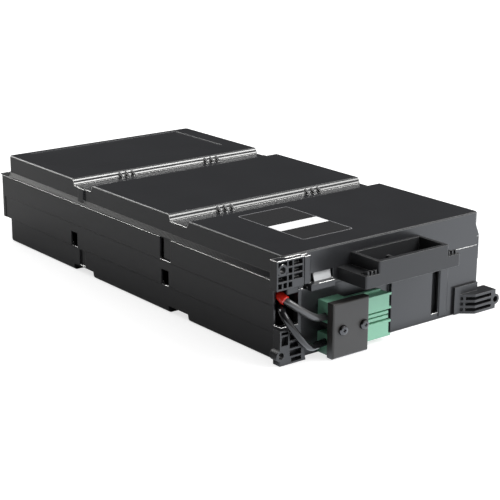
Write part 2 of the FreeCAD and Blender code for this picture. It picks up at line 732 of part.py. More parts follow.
def pull_handle():
    """The stepped open trough that a hand pulls the cartridge out by."""
    handle = body("pull_handle")
    upper, lower = "handle_upper_width / 2", "handle_lower_width / 2"
    reach = f"({FRONT} - handle_reach)"
    bottom = "(front_seam_height + seam_gap)"
    step = [(lower, bottom), (lower, "handle_step_height"), (upper, "handle_step_height"),
            (upper, "handle_top")]
    left = [(f"-{across}", up) for across, up in reversed(step)]
    prism(handle, "trough_block", "XZ", [step + left], reach, FRONT)
    round_edges(handle, "fascia_corners", "bracket_edge_radius", lambda edge: lies(
        edge, y=reach) and (lies(edge, x=lower) or lies(edge, x=f"-{lower}")
                            or lies(edge, x=upper) or lies(edge, x=f"-{upper}")))
    inside_front, inside_back = f"{reach} + handle_fascia", f"{FRONT} - handle_back"
    wide = f"{upper} - handle_side"
    cut(handle, "trough", "XY",
        [rectangle(f"-({wide})", inside_front, wide, inside_back)],
        f"{bottom} + handle_floor", "handle_top + cut_margin")
    prism(handle, "web", "XY",
          [rectangle("-handle_web / 2", f"{inside_front} - handle_side / 2", "handle_web / 2",
                     f"{inside_back} + handle_back / 2")],
          f"{bottom} + handle_floor / 2", f"{bottom} + handle_floor + handle_web_height")
    rib_front = f"{reach} + handle_fascia"
    first = f"{upper} + handle_rib"
    for side in ("right", "left"):
        start = first if side == "right" else f"-({first} + handle_rib + 2 * handle_rib_pitch)"
        rib_feature = prism(handle, f"{side}_rib", "YZ",
                            [[(reach, "handle_step_height - handle_rib"),
                              (f"{rib_front} + handle_rib_length",
                               "handle_step_height - handle_rib"),
                              (f"{rib_front} + handle_rib_length", "handle_step_height"),
                              (rib_front, "handle_step_height + handle_rib_height"),
                              (f"{reach} + handle_rib", "handle_step_height + handle_rib_height"),
                              (f"{reach} + handle_rib", "handle_step_height")]],
                            start, f"{start} + handle_rib")
        row_along_x(handle, f"{side}_ribs", rib_feature, "handle_rib_pitch", 3)
    return handle


def label_flag():
    """The pale flag that stands in the hatch on its sill."""
    flag = body("label_flag")
    foot, head = f"{FRONT} + flag_inset", f"{FRONT} + flag_inset + flag_lean"
    prism(flag, "flag_plate", "YZ",
          [[(foot, "hatch_floor"), (f"{foot} + flag_thickness", "hatch_floor"),
            (f"{head} + flag_thickness", "hatch_floor + flag_height"),
            (head, "hatch_floor + flag_height")]], "-flag_left", "-flag_right")
    return flag


def bay_places():
    """The front face and the name of each battery, from front to back."""
    return (("front", f"({FRONT} + {FRONT_WALL} + battery_front_gap)"),
            ("middle", f"({MIDDLE} + wall + battery_front_gap / 2)"),
            ("rear", f"({LAST} + wall + battery_front_gap / 2)"))


BATTERY_RIGHT = f"({TUB} - wall - battery_right_gap)"
BATTERY_LEFT = f"({BATTERY_RIGHT} - battery_length)"
TAB_PLACES = (f"({BATTERY_LEFT} + tab_end_inset)", f"({BATTERY_RIGHT} - tab_end_inset)")
TAB_LEVEL = f"({BATTERY_FLOOR} + tab_height)"


def battery(name, front):
    """One sealed lead-acid battery, lying with its terminal face to the back."""
    block = body(f"battery_{name}")
    seam = f"({front} + battery_depth - battery_lid_depth)"
    prism(block, "jar", "XZ",
          [rectangle(BATTERY_LEFT, BATTERY_FLOOR, BATTERY_RIGHT, BATTERY_TOP)], front, seam)
    prism(block, "lid", "XZ",
          [rectangle(f"{BATTERY_LEFT} + battery_lid_step", f"{BATTERY_FLOOR} + battery_lid_step",
                     f"{BATTERY_RIGHT} - battery_lid_step", f"{BATTERY_TOP} - battery_lid_step")],
          f"{seam} - battery_lid_step", f"{front} + battery_depth")
    return block


def group(label, members):
    """Several separate solids that share one file."""
    item = doc.addObject("Part::Compound", label)
    item.Label = label
    item.Links = members
    SUB_PARTS.append(item)
    return item


def block_between(name, low, high):
    """A Part::Box between two corners, given as expressions."""
    item = doc.addObject("Part::Box", name)
    for side, start, end in zip(("Length", "Width", "Height"), low, high):
        item.setExpression(side, formula(f"({end}) - ({start})"))
    for axis, start in zip("xyz", low):
        item.setExpression(f".Placement.Base.{axis}", formula(start))
    return item


def rod(name, radius, start, length, turn):
    """A Part::Cylinder from a start point, turned from Z to its own direction."""
    item = doc.addObject("Part::Cylinder", name)
    item.setExpression("Radius", formula(radius))
    item.setExpression("Height", formula(length))
    item.Placement = FreeCAD.Placement(FreeCAD.Vector(), turn)
    for axis, place in zip("xyz", start):
        item.setExpression(f".Placement.Base.{axis}", formula(place))
    return item


def join(kind, name, first, second):
    """A Part::Cut or Part::Fuse of two objects."""
    item = doc.addObject(kind, name)
    item.Base = first
    item.Tool = second
    return item


TO_RIGHT = FreeCAD.Rotation(FreeCAD.Vector(0, 1, 0), 90)
TO_BACK = FreeCAD.Rotation(FreeCAD.Vector(1, 0, 0), -90)


def battery_tabs(name, front):
    """The two blade terminals of one battery."""
    face = f"{front} + battery_depth"
    blades = []
    for side, centre in zip(("minus", "plus"), TAB_PLACES):
        blades.append(block_between(
            f"{name}_{side}_blade",
            (f"{centre} - tab_width / 2", face, f"{TAB_LEVEL} - tab_thickness / 2"),
            (f"{centre} + tab_width / 2", f"{face} + tab_length",
             f"{TAB_LEVEL} + tab_thickness / 2")))
    return group(f"battery_tabs_{name}", blades)


def foam_pad(name, front):
    """The foam strip between a battery and its lid."""
    pad = body(f"foam_pad_{name}")
    prism(pad, "pad", "XY",
          [rectangle(f"{BATTERY_LEFT} + foam_inset", f"{front} + foam_inset",
                     f"{BATTERY_RIGHT} - foam_inset", f"{front} + battery_depth - foam_inset")],
          BATTERY_TOP, f"{BATTERY_TOP} + foam_thickness")
    return pad


def lead_receptacles():
    """Six push-on flag receptacles, one on each terminal blade."""
    pieces = []
    for name, front in bay_places():
        face = f"{front} + battery_depth + receptacle_gap"
        for side, centre in zip(("minus", "plus"), TAB_PLACES):
            tag = f"{name}_{side}"
            shell = block_between(
                f"{tag}_shell",
                (f"{centre} - receptacle_width / 2", face, f"{TAB_LEVEL} - receptacle_height / 2"),
                (f"{centre} + receptacle_width / 2", f"{face} + receptacle_length",
                 f"{TAB_LEVEL} + receptacle_height / 2"))
            middle = f"{face} + receptacle_length / 2"
            barrel = block_between(
                f"{tag}_crimp",
                (f"{centre} - receptacle_width / 2 - crimp_length",
                 f"{middle} - crimp_width / 2", f"{TAB_LEVEL} - receptacle_height / 2"),
                (f"{centre}", f"{middle} + crimp_width / 2",
                 f"{TAB_LEVEL} + receptacle_height / 2"))
            slot = block_between(
                f"{tag}_slot",
                (f"{centre} - tab_width / 2 - receptacle_play", f"{face} - cut_margin",
                 f"{TAB_LEVEL} - tab_thickness / 2 - receptacle_play"),
                (f"{centre} + tab_width / 2 + receptacle_play",
                 f"{face} - receptacle_gap + tab_length + receptacle_play",
                 f"{TAB_LEVEL} + tab_thickness / 2 + receptacle_play"))
            solid = join("Part::Fuse", f"{tag}_solid", shell, barrel)
            pieces.append(join("Part::Cut", f"{tag}_receptacle", solid, slot))
    return group("lead_receptacles", pieces)


def rounded_path(points, bend):
    """Straight runs through the points, joined by tangent arcs."""
    edges, start = [], points[0]
    for before, corner, after in zip(points, points[1:], points[2:]):
        inward, outward = before - corner, after - corner
        half_turn = (math.pi - inward.getAngle(outward)) / 2
        reach = min(bend * math.tan(half_turn), 0.45 * min(inward.Length, outward.Length))
        entry = corner + inward.normalize() * reach
        leave = corner + outward.normalize() * reach
        radius = reach / math.tan(half_turn)
        across = (inward + outward).normalize()
        middle = corner + across * (radius / math.cos(half_turn) - radius)
        edges.append(Part.LineSegment(start, entry).toShape())
        edges.append(Part.Arc(entry, middle, leave).toShape())
        start = leave
    edges.append(Part.LineSegment(start, points[-1]).toShape())
    return edges


def bar(edges, radius):
    """A many-sided bar along straight runs and arcs, with the area of a round one."""
    sides = int(SIZES["lead_sides"])
    corner = radius * math.sqrt(math.tau / (sides * math.sin(math.tau / sides)))
    start = edges[0].valueAt(edges[0].FirstParameter)
    along = edges[0].tangentAt(edges[0].FirstParameter)
    across = along.cross(FreeCAD.Vector(0, 0, 1)).normalize()
    upward = across.cross(along)
    ring = [start + (across * math.cos(turn) + upward * math.sin(turn)) * corner
            for turn in (math.tau * (number + 0.5) / sides for number in range(sides))]
    section = Part.Face(Part.makePolygon([*ring, ring[0]]))
    pieces = []
    for edge in edges:
        first, last = edge.FirstParameter, edge.LastParameter
        leaving, arriving = edge.tangentAt(first), edge.tangentAt(last)
        if isinstance(edge.Curve, Part.Line):
            step = edge.valueAt(last) - edge.valueAt(first)
            pieces.append(section.extrude(step))
            section = section.translated(step)
        else:
            turn = (edge.Curve.Center, leaving.cross(arriving),
                    math.degrees(leaving.getAngle(arriving)))
            pieces.append(section.revolve(*turn))
            section = section.rotated(*turn)
    return pieces[0].multiFuse(pieces[1:]).removeSplitter()


def lead(label, points):
    """One wire of the harness, made whole along its route."""
    places = [FreeCAD.Vector(*[value(text) for text in point]) for point in points]
    edges = rounded_path(places, value("lead_bend"))
    shape = bar(edges, value("lead_diameter / 2"))
    item = doc.addObject("Part::Feature", label)
    item.Label = label
    item.Shape = shape
    length = sum(edge.Length for edge in edges)
    expected = math.pi * value("lead_diameter / 2") ** 2 * length
    radii = sorted({round(edge.Curve.Radius, 1) for edge in edges[1::2]})
    print(f"{label}: {length:.1f} mm long, bend radii {radii} mm,"
          f" volume {shape.Volume / expected:.4f} of section times length")
    SUB_PARTS.append(item)
    return item, edges


def leads():
    """The two series leads and the two leads that run out to the plugs."""
    (_, front), (_, middle), (_, rear) = bay_places()
    half = "receptacle_gap + receptacle_length / 2"
    row = [f"{front} + battery_depth + {half}", f"{middle} + battery_depth + {half}",
           f"{rear} + battery_depth + {half}"]
    tail = "(receptacle_width / 2 + crimp_length)"
    minus, plus = (f"{place} - {tail}" for place in TAB_PLACES)
    lane, inner_lane = f"(-{TUB} + wall + 7)", f"(-{TUB} + wall + 15)"
    low = f"({TAB_LEVEL} - 16)"
    for name, here, there in (("one", row[0], row[1]), ("two", row[1], row[2])):
        lead(f"series_lead_{name}", [
            (plus, here, TAB_LEVEL), (f"{plus} - 14", here, TAB_LEVEL),
            (f"{plus} - 54", f"{here} + 10", TAB_LEVEL), (lane, f"{here} + 10", TAB_LEVEL),
            (lane, there, TAB_LEVEL), (minus, there, TAB_LEVEL)])
    sleeve_path = lead("positive_lead", [
        (plus, row[2], TAB_LEVEL), (f"{plus} - 14", row[2], TAB_LEVEL),
        (f"{plus} - 60", row[2], low), (inner_lane, row[2], low),
        (inner_lane, f"{FRONT} + 60", low), ("-79", f"{FRONT} + 20", "44"),
        ("-87", f"{FRONT} + 3", "43"), ("-78", f"{FRONT} - 3", "36.5"),
        ("-68", f"{FRONT} - lead_line_depth", "upper_lead_height"),
        ("-contact_start", f"{FRONT} - lead_line_depth", "upper_lead_height")])[1]
    lead("negative_lead", [
        (minus, row[0], TAB_LEVEL), (f"{lane} - 1", row[0], TAB_LEVEL),
        ("-83", f"{FRONT} + 20", "35"), ("-84.6", f"{FRONT} + 9", "36"),
        ("-90.6", f"{FRONT} - 2.5", "37"), ("-81", f"{FRONT} - 7.5", "21"),
        ("-66", f"{FRONT} - lead_line_depth", "lower_lead_height"),
        ("-contact_start", f"{FRONT} - lead_line_depth", "lower_lead_height")])
    red_sleeve(sleeve_path)


def red_sleeve(edges):
    """The red sleeve on the positive lead where it leaves the case."""
    face = value(FRONT)
    chosen = [edge for edge in edges if face < edge.CenterOfMass.y < face + value("sleeve_reach")]
    radius = value("lead_diameter / 2")
    outer = bar(chosen, radius + value("sleeve_wall"))
    inner = bar(chosen, radius + value("sleeve_play"))
    item = doc.addObject("Part::Feature", "red_sleeve")
    item.Label = "red_sleeve"
    item.Shape = outer.cut(inner)
    SUB_PARTS.append(item)
    return item


def plug_housing(name, mirrored, lead_height):
    """One pole of the two-pole plug: cable end, mating end, socket and interlock rib."""
    housing = body(f"plug_housing_{name}")

    def level(text):
        """A height in the lower housing, or its mirror in the upper one."""
        return f"(2 * plug_pair_height - ({text}))" if mirrored else f"({text})"

    def span(left, low, right, high):
        """A rectangle between two heights, with its corners in order."""
        ends = (level(high), level(low)) if mirrored else (level(low), level(high))
        return rectangle(left, ends[0], right, ends[1])

    prism(housing, "mating_end", "XZ",
          [span("-plug_shoulder - wall", "lower_plug_floor", "-plug_mating_end",
                "lower_plug_top")], PLUG_FRONT, RECESS)
    prism(housing, "cable_end", "XZ",
          [span("-plug_cable_end", "lower_plug_floor - plug_flare", "-plug_shoulder",
                "lower_plug_top")], PLUG_FRONT, RECESS)
    prism(housing, "interlock_web", "XZ",
          [span("-plug_web_left", "lower_plug_top - wall / 2", "-plug_mating_end",
                "plug_pair_height")], f"{FRONT} - plug_web_front", RECESS)
    prism(housing, "interlock_rib", "XZ",
          [span("-plug_web_left", "lower_plug_top + plug_rib_low", "-plug_mating_end",
                "lower_plug_top + plug_rib_high")],
          f"{PLUG_FRONT} + plug_rib_inset", f"{FRONT} - plug_web_front + wall / 2")
    tabs = [span("-plug_mating_end - wall", low, "-plug_mating_end + plug_tab", high)
            for low, high in (("lower_plug_floor", "lower_plug_floor + plug_tab_height"),
                              ("lower_plug_top - plug_tab_height", "lower_plug_top"))]
    prism(housing, "end_tabs", "XZ", tabs, PLUG_FRONT, f"{PLUG_FRONT} + plug_socket_wall")
    prism(housing, "key_rail", "XZ",
          [span("-plug_shoulder", "lower_plug_floor - plug_rail", "-plug_mating_end - wall",
                "lower_plug_floor + wall")],
          f"{FRONT} - plug_web_front / 2", f"{FRONT} - plug_web_front / 2 + plug_socket_wall")
    middle = level("(lower_plug_floor + lower_plug_top) / 2")
    half = "((lower_plug_top - lower_plug_floor) / 2 - plug_socket_wall)"
    cut(housing, "socket", "YZ",
        [rectangle(f"{PLUG_FRONT} + plug_socket_wall", f"{middle} - {half}",
                   f"{RECESS} - plug_socket_wall", f"{middle} + {half}")],
        "-plug_mating_end - plug_socket_depth", "-plug_mating_end + cut_margin")
    cut(housing, "cable_bore", "YZ",
        [("circle", f"{FRONT} - lead_line_depth", lead_height,
          "lead_diameter / 2 + lead_clearance")],
        "-plug_cable_end - cut_margin", "-plug_mating_end - plug_socket_depth + cut_margin")
    return housing


def plug_contact(name, lead_height):
    """The plated contact of one pole, crimped to the end of its lead."""
    line = f"({FRONT} - lead_line_depth)"
    barrel = rod(f"{name}_contact_barrel", "lead_diameter / 2 + lead_clearance",
                 ("-contact_start", line, lead_height), "contact_barrel", TO_RIGHT)
    blade = block_between(
        f"{name}_contact_blade",
        ("-contact_start + contact_barrel - wall", f"{line} - contact_thickness / 2",
         f"{lead_height} - contact_width / 2"),
        ("-contact_end", f"{line} + contact_thickness / 2", f"{lead_height} + contact_width / 2"))
    contact = join("Part::Fuse", f"plug_contact_{name}", barrel, blade)
    contact.Label = f"plug_contact_{name}"
    SUB_PARTS.append(contact)
    return contact


def connector_bracket():
    """The hollow cover screwed over the cable ends of the plug."""
    bracket = body("connector_bracket")
    front = f"({FRONT} - bracket_front)"
    outline = rectangle("-bracket_left", "bracket_bottom", "-bracket_right", "bracket_top")
    prism(bracket, "cap", "XZ", [outline], front, PLUG_FRONT)
    round_edges(bracket, "cap_edges", "bracket_edge_radius",
                lambda edge: lies(edge, y=front))
    bosses = [("circle", f"-{place}", "screw_height", "bracket_post_radius")
              for place in ("screw_left", "screw_right")]
    cut(bracket, "hollow", "XZ",
        [rectangle("-bracket_left + bracket_skin", "bracket_bottom + bracket_skin",
                   "-bracket_right - bracket_skin", "bracket_top - bracket_skin"), *bosses],
        f"{front} + bracket_skin", f"{PLUG_FRONT} + cut_margin")
    prism(bracket, "posts", "XZ", bosses, f"{front} + bracket_skin / 2", RECESS)
    holes = [("circle", f"-{place}", "screw_height", "screw_radius + 2 * screw_play")
             for place in ("screw_left", "screw_right")]
    cut(bracket, "screw_holes", "XZ", holes, f"{front} - cut_margin",
        f"{RECESS} + cut_margin")
    return bracket


def bracket_screws():
    """Two pan-head screws with cross recesses."""
    front = f"({FRONT} - bracket_front)"
    screws = []
    for side in ("left", "right"):
        centre = f"-screw_{side}"
        shank = rod(f"{side}_shank", "screw_radius", (centre, front, "screw_height"),
                    "screw_length", TO_BACK)
        head = rod(f"{side}_head", "screw_head_radius",
                   (centre, f"{front} - screw_head_height", "screw_height"),
                   "screw_head_height", TO_BACK)
        solid = join("Part::Fuse", f"{side}_solid", shank, head)
        for arm, (wide, tall) in (("flat", ("cross_length", "cross_width")),
                                  ("upright", ("cross_width", "cross_length"))):
            recess = block_between(
                f"{side}_{arm}",
                (f"{centre} - {wide} / 2", f"{front} - screw_head_height - cut_margin",
                 f"screw_height - {tall} / 2"),
                (f"{centre} + {wide} / 2", f"{front} - screw_head_height + cross_depth",
                 f"screw_height + {tall} / 2"))
            solid = join("Part::Cut", f"{side}_{arm}_cut", solid, recess)
        screws.append(solid)
    return group("bracket_screws", screws)


def lid_label():
    """The thin label on the front lid."""
    label = body("lid_label")
    start = f"{FRONT} + label_start"
    prism(label, "film", "XY",
          [rectangle("-label_left", start, "-label_right", f"{start} + label_length")],
          TOP, f"{TOP} + label_thickness")
    return label


def build():
    """Make every sub-part in the document."""
    tray = lower_tray()
    corner_ear(tray)
    leg_ear(tray)
    upper_cover()
    pull_handle()
    label_flag()
    for name, front in bay_places():
        battery(name, front)
        battery_tabs(name, front)
        foam_pad(name, front)
    lead_receptacles()
    leads()
    plug_housing("lower", False, "lower_lead_height")
    plug_housing("upper", True, "upper_lead_height")
    plug_contact("lower", "lower_lead_height")
    plug_contact("upper", "upper_lead_height")
    connector_bracket()
    bracket_screws()
    lid_label()


def check_and_export():
    """Stop at any failed object or bad shape, then write one STEP file a sub-part."""
    doc.recompute()
    for item in doc.Objects:
        if "Invalid" in item.State or "Error" in item.State:
            raise RuntimeError(f"{item.Label} is {item.State}")
    for item in SUB_PARTS:
        if item.Shape.isNull() or not item.Shape.isValid() or not item.Shape.Solids:
            raise RuntimeError(f"{item.Label} has a bad shape")
    os.makedirs("parts", exist_ok=True)
    for item in SUB_PARTS:
        item.Shape.exportStep(f"parts/{item.Label}.step")
        print(item.Label, len(item.Shape.Solids), "solids", round(item.Shape.Volume), "mm3")


build()
check_and_export()
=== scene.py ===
"""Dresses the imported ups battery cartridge: its finishes, screws, leads, label and studio."""

import json
import logging
import math
from collections.abc import Iterable, Sequence
from dataclasses import dataclass, field
from enum import Enum

import bmesh
import bpy
from mathutils import Matrix, Vector

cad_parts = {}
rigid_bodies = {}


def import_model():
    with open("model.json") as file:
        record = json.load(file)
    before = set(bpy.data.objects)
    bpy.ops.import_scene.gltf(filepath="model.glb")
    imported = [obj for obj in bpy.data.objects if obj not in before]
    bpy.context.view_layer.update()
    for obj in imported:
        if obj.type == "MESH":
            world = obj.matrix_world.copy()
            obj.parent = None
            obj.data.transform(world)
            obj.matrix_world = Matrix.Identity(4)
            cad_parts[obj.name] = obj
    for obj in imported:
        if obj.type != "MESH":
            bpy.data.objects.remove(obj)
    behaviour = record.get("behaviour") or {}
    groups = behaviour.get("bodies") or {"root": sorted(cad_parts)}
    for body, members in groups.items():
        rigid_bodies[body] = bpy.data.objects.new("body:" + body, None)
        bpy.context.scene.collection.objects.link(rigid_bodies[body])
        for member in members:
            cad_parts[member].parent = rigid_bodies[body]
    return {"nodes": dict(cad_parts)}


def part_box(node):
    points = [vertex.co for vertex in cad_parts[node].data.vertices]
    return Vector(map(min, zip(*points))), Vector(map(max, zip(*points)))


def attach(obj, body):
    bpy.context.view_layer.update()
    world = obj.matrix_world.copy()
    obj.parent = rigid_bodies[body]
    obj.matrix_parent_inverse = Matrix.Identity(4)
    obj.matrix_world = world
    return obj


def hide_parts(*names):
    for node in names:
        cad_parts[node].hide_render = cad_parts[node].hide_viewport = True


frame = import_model()

LOG = logging.getLogger("cartridge")
MM = 0.001
MERGE_WITHIN = 1e-7
NEARLY_ZERO = 1e-6
Colour = tuple[float, float, float]
Place = tuple[float, float, float]
BLACK: Colour = (0.0, 0.0, 0.0)
WHITE: Colour = (1.0, 1.0, 1.0)


class Tone(Enum):
    """The colours of the cartridge, as linear red, green and blue; the pale edge tones are
    painted highlights, and the two sheath tones are a lit and a shaded copy of one black sheath.
    """

    CASE = (0.0225, 0.0230, 0.0250)
    # Pale colour painted on the case's edges as a highlight.
    CASE_EDGE_HIGHLIGHT = (0.92, 0.92, 0.90)
    HANDLE = (0.030, 0.0305, 0.032)
    FLAG = (0.62, 0.63, 0.64)
    BATTERY = (0.045, 0.047, 0.050)
    TINNED = (0.55, 0.53, 0.48)
    FOAM = (0.09, 0.09, 0.095)
    BRASS = (0.55, 0.42, 0.20)
    SHEATH = (0.070, 0.070, 0.072)
    RED = (0.85, 0.028, 0.016)
    GREEN = (0.240, 0.540, 0.375)
    # Paler green painted on the plugs' edges as a highlight.
    GREEN_EDGE_HIGHLIGHT = (0.35, 0.75, 0.55)
    SILVER = (0.60, 0.60, 0.58)
    BRACKET = (0.036, 0.034, 0.032)
    SCREW = (0.060, 0.060, 0.062)
    FILM = (0.030, 0.030, 0.031)
    INK = (0.30, 0.30, 0.31)
    BLANK = (0.86, 0.86, 0.86)
    # Painted shade: a darker copy of the leads' sheath tone, for the lower lead.
    SHADED_SHEATH = (0.010, 0.010, 0.011)


def shaded(colour: Colour, factor: float) -> Colour:
    """Return a colour made darker or lighter by a factor."""
    return tuple(part * factor for part in colour)


class Sock:
    """A shader value that adds Math nodes when it stands in a Python expression."""

    def __init__(self, bench: "Bench", socket: bpy.types.NodeSocket) -> None:
        """Wrap one output socket.

        Args:
            bench: The bench whose tree the socket belongs to.
            socket: The output socket.
        """
        self.bench = bench
        self.socket = socket

    def _math(self, operation: str, first: "Sock | float", second: "Sock | float",
              clamped: bool = False) -> "Sock":
        """Add one Math node.

        Args:
            operation: The node's operation, such as "ADD".
            first: The first value.
            second: The second value.
            clamped: Whether the result is held between 0 and 1.

        Returns:
            The node's result.
        """
        return self.bench.node("ShaderNodeMath",
                               {"operation": operation, "use_clamp": clamped},
                               {0: first, 1: second})[0]

    def __add__(self, other: "Sock | float") -> "Sock":
        """Add."""
        return self._math("ADD", self, other)

    def __radd__(self, other: float) -> "Sock":
        """Add to a number."""
        return self._math("ADD", other, self)

    def __sub__(self, other: "Sock | float") -> "Sock":
        """Subtract."""
        return self._math("SUBTRACT", self, other)

    def __rsub__(self, other: float) -> "Sock":
        """Subtract from a number."""
        return self._math("SUBTRACT", other, self)

    def __mul__(self, other: "Sock | float") -> "Sock":
        """Multiply."""
        return self._math("MULTIPLY", self, other)

    def __rmul__(self, other: float) -> "Sock":
        """Multiply a number."""
        return self._math("MULTIPLY", other, self)

    def __neg__(self) -> "Sock":
        """Turn its sign."""
        return 0.0 - self

    def __abs__(self) -> "Sock":
        """Drop its sign."""
        return self._math("ABSOLUTE", self, 0.0)

    def sine(self) -> "Sock":
        """Return its sine."""
        return self._math("SINE", self, 0.0)

    def held(self) -> "Sock":
        """Hold the value between 0 and 1."""
        return self._math("MULTIPLY", self, 1.0, clamped=True)


class Bench:
    """One material, world or geometry tree and the nodes laid out in it."""

    def __init__(self, name: str = "", tree: bpy.types.NodeTree | None = None) -> None:
        """Start an empty node material, or empty a tree that is given.

        Args:
            name: The new material's name, where no tree is given.
            tree: The tree of a world or of Geometry Nodes.
        """
        self.material = None
        if tree is None:
            self.material = bpy.data.materials.new(name)
            self.material.use_nodes = True
            tree = self.material.node_tree
        self.tree = tree
        self.tree.nodes.clear()

    def node(self, kind: str, settings: dict[str, object] | None = None,
             inputs: dict[str | int, object] | None = None) -> "Outputs":
        """Add one node.

        Args:
            kind: The node's type.
            settings: Properties that are set first; "stops" sets a ramp's stops.
            inputs: Values or links of its sockets, by name or number.

        Returns:
            The node's outputs, by name or number.
        """
        item = self.tree.nodes.new(kind)
        for key, what in (settings or {}).items():
            if key == "stops":
                self._set_stops(item.color_ramp, what)
            else:
                setattr(item, key, what)
        for key, what in (inputs or {}).items():
            if isinstance(what, Sock):
                self.tree.links.new(what.socket, item.inputs[key])
            else:
                item.inputs[key].default_value = what
        return Outputs(self, item)

    @staticmethod
    def _set_stops(ramp: bpy.types.ColorRamp, stops: Sequence[tuple[float, float]]) -> None:
        """Give a ramp grey stops.

        Args:
            ramp: The ramp.
            stops: Places and grey levels, the first two for the stops it has.
        """
        for number, (place, level) in enumerate(stops):
            stop = ramp.elements[number] if number < 2 else ramp.elements.new(place)
            stop.position = place
            stop.color = (level, level, level, 1.0)

    def place(self) -> Sock:
        """Return Object coordinates."""
        return self.node("ShaderNodeTexCoord")["Object"]

    def noise(self, where: Sock, pitch: float, detail: float = 2.0) -> Sock:
        """Return a noise value from 0 to 1.

        Args:
            where: Coordinates in metres.
            pitch: The size of its features, in metres.
            detail: Its octaves.

        Returns:
            The noise's factor.
        """
        return self.node("ShaderNodeTexNoise", {}, {
            "Vector": where, "Scale": 1.0 / pitch, "Detail": detail, "Roughness": 0.55})["Fac"]

    def parts(self, vector: Sock) -> "Outputs":
        """Return the X, Y and Z of a vector, by number."""
        return self.node("ShaderNodeSeparateXYZ", {}, {0: vector})

    def vector(self, operation: str, first: Sock, second: "Sock | Place",
               result: str = "Vector") -> Sock:
        """Add one Vector Math node.

        Args:
            operation: The node's operation, such as "SUBTRACT".
            first: The first vector.
            second: The second vector.
            result: The output that is read.

        Returns:
            The node's result.
        """
        return self.node("ShaderNodeVectorMath", {"operation": operation},
                         {0: first, 1: second})[result]

    def rounded(self, radius: float) -> Sock:
        """Return a normal that is rounded over the edges.

        Args:
            radius: The radius of the rounding.

        Returns:
            The normal.
        """
        return self.node("ShaderNodeBevel", {"samples": 6}, {"Radius": radius})[0]

    def bump(self, height: Sock, distance: float, strength: float = 1.0,
             normal: Sock | None = None) -> Sock:
        """Raise a surface by a height.

        Args:
            height: The height, from 0 to 1.
            distance: How far a height of 1 stands out, in metres.
            strength: The share of the effect.
            normal: The normal that it starts from, or the surface's own.

        Returns:
            The new normal.
        """
        values = {"Strength": strength, "Distance": distance, "Height": height}
        if normal is not None:
            values["Normal"] = normal
        return self.node("ShaderNodeBump", {}, values)["Normal"]

    def stretched(self, where: Sock, scale: Place) -> Sock:
        """Stretch coordinates along the axes.

        Args:
            where: The coordinates.
            scale: The factor of each axis.

        Returns:
            The stretched coordinates.
        """
        return self.node("ShaderNodeMapping", {}, {"Vector": where, "Scale": scale})[0]

    def blend(self, share: Sock | float, first: "Sock | Colour", second: "Sock | Colour") -> Sock:
        """Mix two colours.

        Args:
            share: The share of the second one.
            first: The first colour.
            second: The second colour.

        Returns:
            The mixed colour.
        """
        ends = [what if isinstance(what, Sock) else (*what, 1.0) for what in (first, second)]
        return self.node("ShaderNodeMix", {"data_type": "RGBA", "clamp_factor": True},
                         {0: share, 6: ends[0], 7: ends[1]})[2]

    def finish(self, values: dict[str, object]) -> bpy.types.Material:
        """End the material in one Principled shader.

        Args:
            values: What its sockets get.

        Returns:
            The material.
        """
        shader = self.node("ShaderNodeBsdfPrincipled", {}, values)["BSDF"]
        self.node("ShaderNodeOutputMaterial", {}, {"Surface": shader})
        return self.material


class Outputs:
    """The outputs of one node."""

    def __init__(self, bench: Bench, item: bpy.types.Node) -> None:
        """Hold a node.

        Args:
            bench: The bench whose tree it is in.
            item: The node.
        """
        self.bench = bench
        self.item = item

    def __getitem__(self, key: str | int) -> Sock:
        """Return one output by name or number."""
        return Sock(self.bench, self.item.outputs[key])


@dataclass(frozen=True)
class Region:
    """A box on the cartridge, for what a finish does in one place alone."""

    low: Place
    high: Place
    sharpness: float = 400.0

    def mask(self, bench: Bench, where: Sock) -> Sock:
        """Return 1 inside the box and 0 outside.

        Args:
            bench: The material's bench.
            where: Object coordinates.

        Returns:
            The mask.
        """
        middle = tuple((first + last) / 2 for first, last in zip(self.low, self.high))
        scale = tuple(2.0 / (last - first) for first, last in zip(self.low, self.high))
        shifted = bench.vector("SUBTRACT", where, middle)
        across, along, up = (
            ((1.0 - abs(bench.parts(bench.vector("MULTIPLY", shifted, scale))[axis]))
             * self.sharpness).held() for axis in range(3))
        return across * along * up


@dataclass(frozen=True)
class HatchHighlights:
    """Painted highlights: pale fine lines on the brim's slope, which follow its fine relief, and
    pale, metallic bands on the channels' walls.
    """

    line_pitch: float = 1.5 * MM
    # Share of the pale colour painted on the brim's lines as a highlight.
    line_highlight_share: float = 0.42
    line_swing: float = 0.28
    band_pitch: float = 2.2 * MM
    band_gain: float = 3.0
    band_from: float = 0.2
    # Share and Metallic of the pale bands painted on the channels' walls as highlights.
    band_highlight_share: float = 0.42
    band_highlight_shine: float = 0.8
    gap_dullness: float = 0.45
    facing_gain: float = 6.0
    rising_from: float = 1.0
    sideways_from: float = 3.0
    fade_gain: float = 3.0
    fade_middle: float = 0.5

    def laid(self, bench: Bench, where: Sock, flat: Sock) -> tuple[Sock, Sock, Sock]:
        """Lay the lines and the bands where the faces slope the right way.

        Args:
            bench: The material's bench.
            where: Object coordinates.
            flat: The faces' own normal.

        Returns:
            The lines' and the bands' share of the pale colour painted on them as a highlight, and
            the roughness between the bands.
        """
        normal, place = bench.parts(flat), bench.parts(where)
        rising = (normal[2] * self.facing_gain - self.rising_from).held()
        brim = (-normal[0] * self.facing_gain - self.sideways_from).held() * rising
        wall = (-normal[1] * self.facing_gain - self.sideways_from).held() * rising
        lines = (place[1] * (math.tau / self.line_pitch)).sine()
        faded = (place[1] * self.fade_gain + self.fade_middle).held()
        waves = (place[2] * (math.tau / self.band_pitch)).sine()
        bands = (waves * self.band_gain - self.band_from).held()
        return (brim * (lines * self.line_swing + self.line_highlight_share) * faded,
                wall * bands * self.band_highlight_share, wall * (1.0 - bands) * self.gap_dullness)


